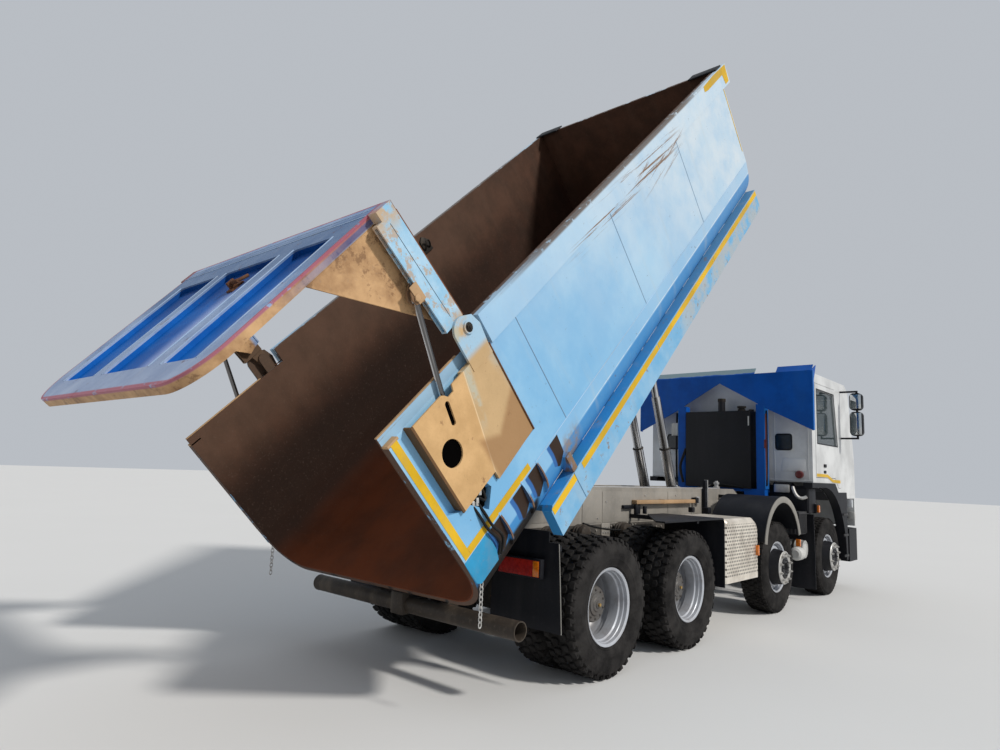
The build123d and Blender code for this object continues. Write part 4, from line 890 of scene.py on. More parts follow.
def tread(x, y, sign, kind, height):
    """All the blocks of one tyre."""
    base = TYRE_R - height
    centre = (x, sign * y, TYRE_R)
    low = base - 0.006
    top = TYRE_R - 0.0005
    count, share = (REAR_BLOCKS, 0.36) if kind == "block" else (FRONT_BLOCKS, 0.4)
    step = 2 * pi * TYRE_R / count
    s = step * share
    if kind == "block":
        rows = [([(0.084, -s), (0.13, -s * 1.02), (0.13, s * 0.62), (0.092, s * 0.8), (0.078, s * 0.2)], 0.0),
                ([(0.018, -s), (0.066, -s * 0.75), (0.073, s * 0.2), (0.058, s), (0.012, s * 0.6)], 0.5),
                ([(-0.066, -s * 0.6), (-0.016, -s), (-0.006, s * 0.3), (-0.02, s * 0.9),
                  (-0.07, s * 0.75)], 0.0),
                ([(-0.13, -s * 0.62), (-0.092, -s * 0.8), (-0.078, -s * 0.2), (-0.084, s), (-0.13, s)], 0.5)]
    else:
        rows = [([(0.088, -s), (0.127, -s * 0.9), (0.127, s * 0.9), (0.088, s)], 0.0),
                ([(0.038, -s * 0.8), (0.078, -s), (0.078, s * 0.8), (0.038, s)], 0.4),
                ([(-0.022, -s), (0.026, -s * 0.8), (0.022, s), (-0.026, s * 0.8)], 0.0),
                ([(-0.078, -s * 0.8), (-0.038, -s), (-0.038, s * 0.8), (-0.078, s)], 0.6),
                ([(-0.127, -s * 0.9), (-0.088, -s), (-0.088, s), (-0.127, s * 0.9)], 0.2)]
    made = []
    for points, lead in rows:
        # Blocks near the shoulder sit a little lower, as the tread is crowned.
        outer = max((abs(p) for p, q in points))
        drop = 0.004 if outer > 0.1 else 0.0
        o = lug(points, x, y, sign, low - drop, top - drop)
        o.data.transform(Matrix.Translation(centre) @ Matrix.Rotation(lead * step / TYRE_R, 4, "Y")
                         @ Matrix.Translation(-Vector(centre)))
        made.append(turned(o, count, centre, (0, 1, 0)))
    if kind == "block":
        # Shoulder ribs that run down the side wall.
        at = axes(Vector((x, sign * y, TYRE_R)), Vector((0, sign, 0)), UP)
        o = plate([(0.118, 0.5305), (0.118, 0.48), (0.1435, 0.486), (0.1375, 0.515), (0.129, 0.5305)], at,
                  0.03)
        o.data.transform(Matrix.Translation((-0.015 * sign, 0, 0)))
        made.append(turned(soften(o, 0.003, 1), REAR_BLOCKS, centre, (0, 1, 0)))
    return made


class TRUCK_OT_tyres(bpy.types.Operator):
    """Tyres with their tread blocks, one shape a kind, copied to each wheel"""
    bl_idname = "truck.tyres"
    bl_label = "Tyres"

    def execute(self, context):
        height = context.scene.truck_sizes.lug_height
        masters = {}
        for kind, y in (("block", REAR_Y), ("rib", FRONT_Y)):
            high = height if kind == "block" else height * 0.55
            masters[kind] = joined([carcass(y, 1, 0, TYRE_R - high)] + tread(0, y, 1, kind, high))
        for n, x in AXLES.items():
            kind = "block" if n in "34" else "rib"
            y = REAR_Y if n in "34" else FRONT_Y
            for hand, sign in HANDS.items():
                turn = Matrix.Identity(4)
                if sign < 0:
                    turn = Matrix.Rotation(pi, 4, "Z")
                pieces = [moved(masters[kind], Matrix.Translation((x, 0, 0)) @ turn)]
                if n in "34":
                    pieces.append(moved(masters[kind], Matrix.Translation((x, -sign * TWIN, 0)) @ turn))
                settle(f"tyre_tread_{n}_{hand}", pieces, "rubber", f"wheel_{n}_{hand}",
                       stands_for=[f"tyre_{n}_{hand}"], angle=40)
        for o in masters.values():
            bpy.data.objects.remove(o)
        return {"FINISHED"}


def rim_band(y, x, sign):
    """The barrel and flanges of one rim, drawn with real lips."""
    half = [(0, 0.266), (0.028, 0.266), (0.062, 0.286), (0.108, 0.289), (0.111, 0.299), (0.118, 0.302),
            (0.123, 0.299), (0.121, 0.291), (0.114, 0.279), (0.086, 0.277), (0.08, 0.2715), (0.05, 0.269),
            (0.042, 0.257), (0, 0.254)]
    count = len(half) // 2
    profile = (half + [(-s, r) for s, r in reversed(half[count:-1])]
               + [(-s, r) for s, r in reversed(half[1:count])])
    return wheel_lathe(profile, x, y, sign)


def nuts(x, y, sign, along, pitch_r, count, radius=0.016, height=0.026):
    """A ring of wheel nuts with their studs."""
    at = Vector((x, sign * (y + along), TYRE_R + pitch_r))
    nut = lathe([(0, 0), (0, radius * 1.15), (height * 0.25, radius * 1.15), (height * 0.25, radius),
                 (height, radius * 0.92), (height, radius * 0.5), (height * 1.45, radius * 0.45),
                 (height * 1.45, 0)], at, (0, sign, 0), 6)
    return turned(nut, count, (x, sign * y, TYRE_R), (0, 1, 0))


def rear_wheel(key, x, sign):
    """Twin rims with deep dishes, and the hub between them."""
    y = REAR_Y
    body = f"wheel_{key}"
    bands = [rim_band(y, x, sign), rim_band(y - TWIN, x, sign)]
    well = wheel_lathe([(-0.1, 0.276), (-0.118, 0.272), (-0.136, 0.26), (-0.156, 0.246), (-0.164, 0.232),
                        (-0.171, 0.232), (-0.163, 0.252), (-0.142, 0.268), (-0.12, 0.28), (-0.104, 0.282)],
                       x, y, sign)
    flip = (Matrix.Translation((x, sign * (y - TWIN), 0)) @ Matrix.Diagonal((1, -1, 1, 1))
            @ Matrix.Translation((-x, -sign * y, 0)))
    settle(f"wheel_rims_{key}", bands + [well, moved(well, flip)], "rim", body,
           stands_for=[f"rim_{key}"])
    disc = wheel_lathe([(-0.163, 0.236), (-0.158, 0.215), (-0.156, 0.135), (-0.171, 0.135), (-0.171, 0.236)],
                       x, y, sign)
    hub = wheel_lathe([(-0.17, 0.0), (-0.17, 0.15), (-0.146, 0.155), (-0.141, 0.15), (-0.138, 0.138),
                       (-0.03, 0.142), (-0.012, 0.134), (-0.008, 0.088), (0.002, 0.084), (0.006, 0.06),
                       (0.014, 0.052), (0.016, 0.03), (0.024, 0.027), (0.026, 0.0)], x, y, sign, 48)
    drum = wheel_lathe([(-0.33, 0.15), (-0.33, 0.205), (-0.19, 0.205), (-0.17, 0.15)], x, y, sign, 48)
    studs = nuts(x, y, sign, -0.157, 0.1815, 10)
    caps = nuts(x, y, sign, -0.011, 0.111, 10, 0.009, 0.01)
    settle(f"wheel_hub_{key}", [disc, moved(disc, flip), hub, drum, studs, caps], "hub", body)
    middle = rod((x, sign * (y + 0.024), TYRE_R), (x, sign * (y + 0.04), TYRE_R), 0.015, 6, edge=0.002)
    settle(f"wheel_plug_{key}", [middle], "brass", body)


def front_wheel(key, x, sign):
    """A single rim with its disc raised outward, a bright nut ring and a dark hub."""
    y = FRONT_Y
    body = f"wheel_{key}"
    disc = wheel_lathe([(0.05, 0.276), (0.062, 0.27), (0.08, 0.246), (0.088, 0.222), (0.088, 0.196),
                        (0.078, 0.196), (0.078, 0.22), (0.07, 0.243), (0.054, 0.264), (0.048, 0.272)],
                       x, y, sign)
    settle(f"wheel_rims_{key}", [rim_band(y, x, sign), disc], "rim", body,
           stands_for=[f"rim_{key}"])
    ring = wheel_lathe([(0.203, 0.13), (0.203, 0.194), (0.209, 0.197), (0.216, 0.192), (0.216, 0.13)],
                       x, y, sign, 48)
    drum = wheel_lathe([(-0.12, 0.08), (-0.12, 0.225), (0.02, 0.225), (0.04, 0.15), (0.11, 0.148),
                        (0.11, 0.08)], x, y, sign, 48)
    settle(f"wheel_trim_{key}", [ring, nuts(x, y, sign, 0.214, 0.164, 10)], "alloy", body)
    hub = wheel_lathe([(0.14, 0.0), (0.14, 0.128), (0.214, 0.128), (0.222, 0.118), (0.226, 0.095),
                       (0.226, 0.062), (0.214, 0.056), (0.204, 0.05), (0.202, 0.0)], x, y, sign, 48)
    shell = wheel_lathe([(0.072, 0.15), (0.072, 0.224), (0.092, 0.214), (0.19, 0.196), (0.204, 0.19),
                         (0.204, 0.15)], x, y, sign)
    caps = nuts(x, y, sign, 0.224, 0.088, 8, 0.007, 0.01)
    settle(f"wheel_hub_{key}", [hub, shell, drum, caps], "tank", body)


class TRUCK_OT_wheels(bpy.types.Operator):
    """Rims, hubs and nuts: deep dishes at the rear, raised discs in front"""
    bl_idname = "truck.wheels"
    bl_label = "Wheels"

    def execute(self, context):
        for n, x in AXLES.items():
            for hand, sign in HANDS.items():
                wheel = rear_wheel if n in "34" else front_wheel
                wheel(f"{n}_{hand}", x, sign)
        return {"FINISHED"}


def arc(x, z, r, first, last, count):
    """Points on an arc, angles in degrees."""
    steps = [radians(first + (last - first) * i / (count - 1)) for i in range(count)]
    return [(x + r * cos(t), z + r * sin(t)) for t in steps]


def rounded(u, v, half, r):
    """A square outline with rounded corners."""
    points = []
    for su, sv, start in ((1, 1, 0), (-1, 1, 90), (-1, -1, 180), (1, -1, 270)):
        points += arc(u + su * (half - r), v + sv * (half - r), r, start, start + 90, 6)
    return points


class TRUCK_OT_tapes(bpy.types.Operator):
    """Yellow marking tape on the bed and the doors"""
    bl_idname = "truck.tapes"
    bl_label = "Marking tape"

    def execute(self, context):
        thick = context.scene.truck_sizes.tape_thick
        low = 1.2502
        # Columns: rear lower corner, front upper corner, along and square to the bed's floor
        strips = [((-0.479, 0.481), (-0.423, 1.4)), ((-0.422, 0.481), (0.348, 0.533)),
                  ((0.335, 0.052), (0.698, 0.108)), ((0.822, 0.052), (2.4, 0.108)),
                  ((2.41, 0.052), (4.02, 0.108)), ((4.03, 0.052), (5.66, 0.108)),
                  ((5.64, 0.62), (5.655, 1.372))]
        made = [block((*p, low), (*q, low + thick), bed_axes(0), 0) for p, q in strips]
        made += [plate([(5.06, 1.52), (5.16, 1.508), (5.66, 1.514), (5.69, 1.4), (5.8, 1.405),
                        (5.815, 1.586), (5.4, 1.59), (5.07, 1.575)], bed_axes(-TOP_RAIL_Y), thick)]
        settle("bed_tapes", both(made), "yellow", "bed")
        for hand, sign in HANDS.items():
            line = [(5.19, 1.655), (5.66, 1.652), (5.9, 1.585), (6.19, 1.575), (6.285, 1.575),
                    (6.285, 1.618), (5.92, 1.625), (5.67, 1.694), (5.19, 1.697)]
            settle(f"door_tape_{hand}", [plate(line, side_axes(1.2172 * sign), -0.002 * sign)], "yellow",
                   f"door_{hand}")
        return {"FINISHED"}


class TRUCK_OT_bed_trim(bpy.types.Operator):
    """Plates, hoses, weld beads, nuts and chain on the bed"""
    bl_idname = "truck.bed_trim"
    bl_label = "Bed trim"

    def execute(self, context):
        own = bed_axes(0)
        corner = plate([(-0.499, 0.478), (-0.499, 0.3), (-0.47, 0.268), (-0.268, 0.262), (-0.24, 0.33),
                        (-0.236, 0.478)], bed_axes(-1.236), 0.0135, 0.002)
        cap = block((-0.5, 1.395, 1.19), (-0.405, 1.412, 1.252), own, 0.003)
        lip = block((-0.5, 1.467, 1.186), (0.3, 1.474, 1.206), own, 0.002)
        settle("bed_corner_plates", both([corner]), "sky", "bed")
        settle("bed_caps", both([cap, lip]), "tan", "bed")
        hood = block((5.56, 1.5955, 0.93), (5.735, 1.612, 1.262), own, 0.004)
        settle("bed_hoods", both([hood]), "plastic", "bed")
        # Near-black plates behind the housing's hole and window: painted shade inside the housings.
        dark = block((-0.306, 0.752, 1.2592), (0.15, 1.345, 1.2615), own, 0)
        window = block((-0.262, 0.585, 1.2045), (-0.03, 0.748, 1.2065), own, 0)
        settle("housing_dark", both([dark, window]), "void", "bed")
        side = tube([(0.551, -1.2535, 0.668), (0.551, -1.2575, 1.03), (0.551, -1.262, 1.394)], 0.006, 2, bed)
        top = tube([(a, -1.2335, 1.4675) for a in (0.5, 2.6, 5.62)], 0.0045, 2, bed)
        settle("bed_beads", both([side, top]), "rust", "bed")
        seams = [tube([(a, -1.2502, b) for b in (0.485, 0.93, 1.378)], 0.0022, 2, bed)
                 for a in (0.9, 2.495, 4.091)]
        seams += [tube([(a, -1.2508, 0.48) for a in (-0.49, 2.6, 5.64)], 0.003, 2, bed)]
        settle("bed_seams", both(seams), "faded sky", "bed")
        lines = [[(-0.215, -1.225, 0.73), (-0.222, -1.262, 0.62), (-0.238, -1.272, 0.5),
                  (-0.205, -1.275, 0.41), (-0.2, -1.268, 0.34), (-0.25, -1.245, 0.285)],
                 [(-0.17, -1.225, 0.72), (-0.178, -1.262, 0.6), (-0.196, -1.275, 0.49),
                  (-0.16, -1.278, 0.4), (-0.172, -1.268, 0.33), (-0.225, -1.24, 0.27)],
                 [(-0.14, -1.225, 0.7), (-0.12, -1.24, 0.62), (-0.085, -1.235, 0.655), (-0.07, -1.22, 0.72)]]
        hoses = [tube(line, 0.01, place=bed) for line in lines]
        fittings = [rod(bed(a, -1.235, b), bed(a + 0.03, -1.235, b + 0.04), 0.017, 6, edge=0.002)
                    for a, b in ((-0.225, 0.665), (-0.185, 0.655), (-0.125, 0.69))]
        settle("housing_hoses", both(hoses), "hose", "bed")
        settle("housing_fittings", both(fittings), "alloy", "bed")
        at = bed(0.44, -1.2832, 1.582)
        pins = [lathe([(0, 0), (0, 0.031), (0.004, 0.033), (0.006, 0.03), (0.006, 0)], at, -ACROSS, 24),
                rod(at, at - ACROSS * 0.016, 0.024, 6, edge=0.002),
                rod(at, at - ACROSS * 0.024, 0.012, 12, edge=0.001)]
        settle("hinge_pins", both(pins), "iron", "bed")
        eye = plate([(2.66, 1.38), (2.82, 1.38), (2.79, 1.52), (2.74, 1.56), (2.69, 1.52)], bed_axes(1.188),
                    0.022, 0.003)
        bow = tube([(2.7, 1.16, 1.42), (2.7, 1.12, 1.47), (2.74, 1.112, 1.53), (2.78, 1.12, 1.47),
                    (2.78, 1.16, 1.42)], 0.009, place=bed)
        settle("bed_eye", [eye, bow], "iron", "bed")
        # The chain hangs straight down from the corner plate.
        top = bed(-0.462, -1.243, 0.272)
        links = []
        for i in range(9):
            clear()
            bpy.ops.mesh.primitive_torus_add(location=top - UP * (0.014 + 0.0305 * i),
                                             rotation=(pi / 2, 0, pi / 2 * (i % 2)), major_segments=14,
                                             minor_segments=6, major_radius=0.0125, minor_radius=0.0034)
            links.append(bpy.context.object)
            bpy.ops.transform.resize(value=(1, 1, 1.5))
            bpy.ops.object.transform_apply(location=True, rotation=True, scale=True)
        settle("bed_chain", both(links), "alloy", "bed")
        return {"FINISHED"}


class TRUCK_OT_gate_trim(bpy.types.Operator):
    """Latch, seams and brackets on the tailgate"""
    bl_idname = "truck.gate_trim"
    bl_label = "Tailgate trim"

    def execute(self, context):
        face = gate_axes(0)
        lines = blocks(face, (-1.165, -0.108, 0.8995, 1.165, -0.1, 0.9035, 0.001),
                       (-1.165, -0.03, 0.8995, 1.165, -0.024, 0.9025, 0.001))
        for y, wide in ((0.66, 0.58), (-0.11, 0.68), (-0.82, 0.4)):
            for u in (-y - wide / 2 - 0.01, -y + wide / 2 + 0.002):
                lines.append(block((u, -1.322, 0.8995), (u + 0.008, -0.268, 0.9045), face, 0.001))
        settle("gate_lines", lines, "pale blue", "tailgate")
        latch = (blocks(face, (0.1, -0.53, 0.858, 0.175, -0.42, 0.872, 0.003),
                        (0.115, -0.505, 0.87, 0.135, -0.445, 0.915, 0.003))
                 + [rod(gate(0.898, -0.105, -0.475), gate(0.898, -0.215, -0.47), 0.014, 12, edge=0.002),
                    rod(gate(0.898, -0.205, -0.47), gate(0.886, -0.225, -0.395), 0.011, 12, edge=0.002)])
        settle("gate_latch", latch, "rust", "tailgate")
        foot = bed(-0.19, 0, 0.74)
        eye = gate(0.37, 0, -0.19)
        way = (eye - foot).normalized()
        reach = (eye - foot).length
        side = -ACROSS * 1.232
        rods = [rod(foot + side + way * (reach - 0.6), foot + side + way * (reach - 0.02), 0.0185, 24),
                lathe([(-0.009, 0.0), (-0.009, 0.03), (-0.006, 0.033), (0.006, 0.033), (0.009, 0.03),
                       (0.009, 0.0)], eye + side, ACROSS, 28)]
        barrels = [lathe([(-0.02, 0.0), (-0.02, 0.023), (0.0, 0.0255), (0.585, 0.0255), (0.6, 0.0235),
                          (0.6, 0.019), (0.02, 0.019), (0.02, 0.0)], foot + side, way, 32)]
        settle("gate_rod_bars", both(rods), "ram chrome", "gate_rods", stands_for=["gate_rods"])
        settle("gate_barrel_tubes", both(barrels), "tank", "gate_barrels", stands_for=["gate_barrels"])
        at = gate(0.375, -1.2555, -0.195)
        pads = [rod(at, at - ACROSS * 0.014, 0.024, 6, edge=0.002),
                block((0.335, -0.205, -0.006), (0.455, -0.135, 0.0), arm_axes(-1.2552), 0.003)]
        settle("rod_eye_pads", both(pads), "tan", "tailgate")
        return {"FINISHED"}


def bolts(places, radius=0.011, height=0.009):
    """Hexagon bolt heads that stand out to the right side."""
    return [rod(row(*p), row(*p) - ACROSS * height, radius, 6) for p in places]


class TRUCK_OT_chassis_trim(bpy.types.Operator):
    """Bolts, brackets, pipes and lamps along the chassis"""
    bl_idname = "truck.chassis_trim"
    bl_label = "Chassis trim"

    def execute(self, context):
        out = -ACROSS
        rail = [(-0.55 + 0.108 * i, -0.4302, z) for z in (0.835, 1.025) for i in range(46)]
        rail += [(1.225 + 0.06 * i, -0.4302, 1.06) for i in range(9)]
        settle("rail_bolts", both(bolts(rail)), "subframe")
        own = side_axes(0)
        plates = blocks(own, (0.72, 1.095, 0.4305, 1.05, 1.415, 0.4355, 0.002),
                        (1.068, 1.095, 0.4305, 2.4, 1.4, 0.4345, 0.002),
                        (2.42, 1.095, 0.4305, 3.26, 1.4, 0.4345, 0.002),
                        (1.05, 0.93, 0.4305, 1.2, 1.09, 0.44, 0.002),
                        (3.36, 1.1, 0.4305, 4.2, 1.3, 0.4345, 0.002),
                        (-0.3, 1.12, 0.4305, 0.2, 1.36, 0.4345, 0.002))
        settle("subframe_plates", both(plates), "subframe")
        spots = [(1.08 + 0.045 * (i % 3), -0.44, 0.955 + 0.045 * (i // 3)) for i in range(9)]
        spots += [(1.13, -0.4345, 1.3), (1.9, -0.4345, 1.36), (2.6, -0.4345, 1.36), (3.02, -0.4345, 1.15),
                  (0.78, -0.4355, 1.37), (0.98, -0.4355, 1.14)]
        settle("plate_bolts", both(bolts(spots, 0.009, 0.008)), "alloy")
        strap = blocks(own, (1.62, 1.272, 0.4345, 2.98, 1.314, 0.5, 0.006),
                       (2.2, 1.268, 0.4345, 2.215, 1.318, 0.5015, 0.002))
        settle("prop_strap", strap, "wood")
        dark = (blocks(own, (1.68, 1.17, 0.4345, 1.73, 1.27, 0.48, 0.006),
                       (1.42, 1.225, 0.4345, 1.62, 1.262, 0.468, 0.004),
                       (3.0, 1.27, 0.4345, 3.07, 1.335, 0.5, 0.006),
                       (3.29, 1.13, 0.4345, 3.345, 1.448, 0.48, 0.006),
                       (3.29, 1.44, 0.44, 3.345, 1.548, 0.48, 0.006),
                       (2.66, 1.175, 0.56, 2.72, 1.235, 0.62, 0.01),
                       (3.12, 1.15, 0.52, 3.2, 1.225, 0.6, 0.012))
                + [rod(row(1.6, -0.5, 1.17), row(1.6, -0.5, 1.27), 0.022, 12, edge=0.004),
                   rod(row(1.78, -0.5, 1.17), row(1.78, -0.5, 1.25), 0.022, 12, edge=0.004)])
        settle("chassis_brackets", dark, "plastic")
        sensor = [(0, 0), (0, 0.045), (0.02, 0.045), (0.025, 0.03), (0.055, 0.03), (0.055, 0.04),
                  (0.08, 0.04), (0.085, 0.022), (0.1, 0.02), (0.1, 0)]
        pipes = [([(0.9, -0.33, 1.436), (2.0, -0.34, 1.438), (3.1, -0.32, 1.436), (4.1, -0.3, 1.438)], 0.014),
                 ([(0.6, -0.27, 1.438), (2.2, -0.287, 1.44), (3.4, -0.287, 1.438), (4.2, -0.2, 1.44)], 0.01)]
        light = blocks(own, (3.085, 1.255, 0.4345, 3.16, 1.345, 0.47, 0.003),
                       (3.345, 1.15, 0.44, 3.36, 1.55, 0.484, 0.002))
        light += [tube(*pipe) for pipe in pipes] + [lathe(sensor, row(4.62, -0.03, 1.44), UP, 20)]
        settle("chassis_pipes", light, "alloy")
        drum = [(0, 0), (0, 0.072), (0.02, 0.082), (0.035, 0.07), (0.05, 0.084), (0.065, 0.072),
                (0.08, 0.084), (0.11, 0.074), (0.13, 0.03), (0.13, 0)]
        drums = [lathe(drum, row(x, -0.47, 1.02), out, 28) for x in (0.1, 0.58, 1.3)]
        settle("brake_drums", both(drums), "tube")
        hose = [tube([(0.0, -0.46, 0.96), (0.25, -0.53, 0.86), (0.5, -0.54, 0.94)], 0.01),
                tube([(0.7, -0.46, 1.1), (1.0, -0.52, 1.02), (1.3, -0.56, 1.03)], 0.01)]
        settle("brake_hoses", both(hose), "hose")
        x, z = 3.8, 0.77
        band = plate(arc(x, z, 0.6185, 14, 172, 40) + arc(x, z, 0.545, 172, 14, 40), side_axes(-1.2352),
                     0.01, 0.002)
        settle("arch_bands", both([band]), "grey edge")
        lip = tube([(-0.6725, -1.243, 0.432), (-0.6725, -1.229, 0.7), (-0.6725, -1.204, 1.055)], 0.0035, 2)
        settle("flap_edges", both([lip]), "grey edge")
        amber = blocks(own, (2.97, 0.745, 1.135, 3.0, 0.855, 1.252, 0.004),
                       (6.8, 1.215, 1.15, 6.855, 1.335, 1.232, 0.004),
                       (4.395, 0.76, 1.18, 4.425, 0.85, 1.236, 0.003),
                       (5.2, 1.17, 1.205, 5.245, 1.265, 1.232, 0.003))
        rear = blocks(rear_axes(-0.7322), (-1.069, 0.81, 0.0, -1.015, 0.92, 0.0035, 0.001),
                      (1.015, 0.81, 0.0, 1.069, 0.92, 0.0035, 0.001))
        settle("side_lamps", both(amber) + rear, "amber lens")
        cases = [block((5.185, 1.155, 1.15), (5.255, 1.28, 1.205), own, 0.004),
                 block((-1.085, 0.795, -0.05), (-0.665, 0.935, -0.002), rear_axes(-0.7322), 0.004)]
        settle("lamp_cases", both(cases), "plastic")
        front = block((-0.96, 0.618, -0.004), (-0.64, 0.782, 0.0), rear_axes(7.24), 0)
        settle("lamp_fronts", both([front]), "clear lens")
        marker = block((6.915, 1.03, 1.15), (6.965, 1.145, 1.236), own, 0.004)
        settle("corner_markers", both([marker]), "white")
        ribs = [block((4.695 + 0.045 * i, 0.895, 1.1195), (4.715 + 0.045 * i, 1.165, 1.135), own, 0.003)
                for i in range(7)]
        ribs += [block((0.67 + 0.05 * i, 0.895, 0.0), (0.69 + 0.05 * i, 1.165, 0.014), rear_axes(4.6802),
                       0.003) for i in range(9)]
        lid = block((4.67, 1.15, 0.655), (4.99, 1.182, 1.138), own, 0.006)
        settle("battery_ribs", ribs + [lid], "grey plastic")
        tank = lathe([(0, 0), (0, 0.06), (-0.018, 0.095), (-0.045, 0.118), (-0.5, 0.118), (-0.5, 0.1155),
                      (-0.04, 0.1155)], row(4.88, -1.145, 0.69), out, 40)
        second = lathe([(0, 0), (0, 0.05), (0.02, 0.078), (0.05, 0.085), (0.16, 0.085), (0.18, 0.078),
                        (0.2, 0.05), (0.2, 0)], row(4.6, -1.1, 0.64), AHEAD, 32)
        settle("air_tanks", [tank, second], "white")
        straps = [lathe([(0, 0.1165), (0, 0.1215), (0.03, 0.1215), (0.03, 0.1165)], row(4.88, -y, 0.69),
                        out, 40) for y in (0.78, 1.0)]
        settle("tank_straps", straps, "iron")
        end = [lathe([(0, 0.059), (0, 0.0685), (0.012, 0.0685), (0.012, 0.059)], row(-1.055, -1.1835, 0.5),
                     ACROSS, 40)]
        hook = [block((-0.07, 0.43, -0.02), (0.07, 0.6, 0.07), rear_axes(-1.08), 0.01)]
        settle("underrun_ends", both(end) + hook, "tube")
        return {"FINISHED"}


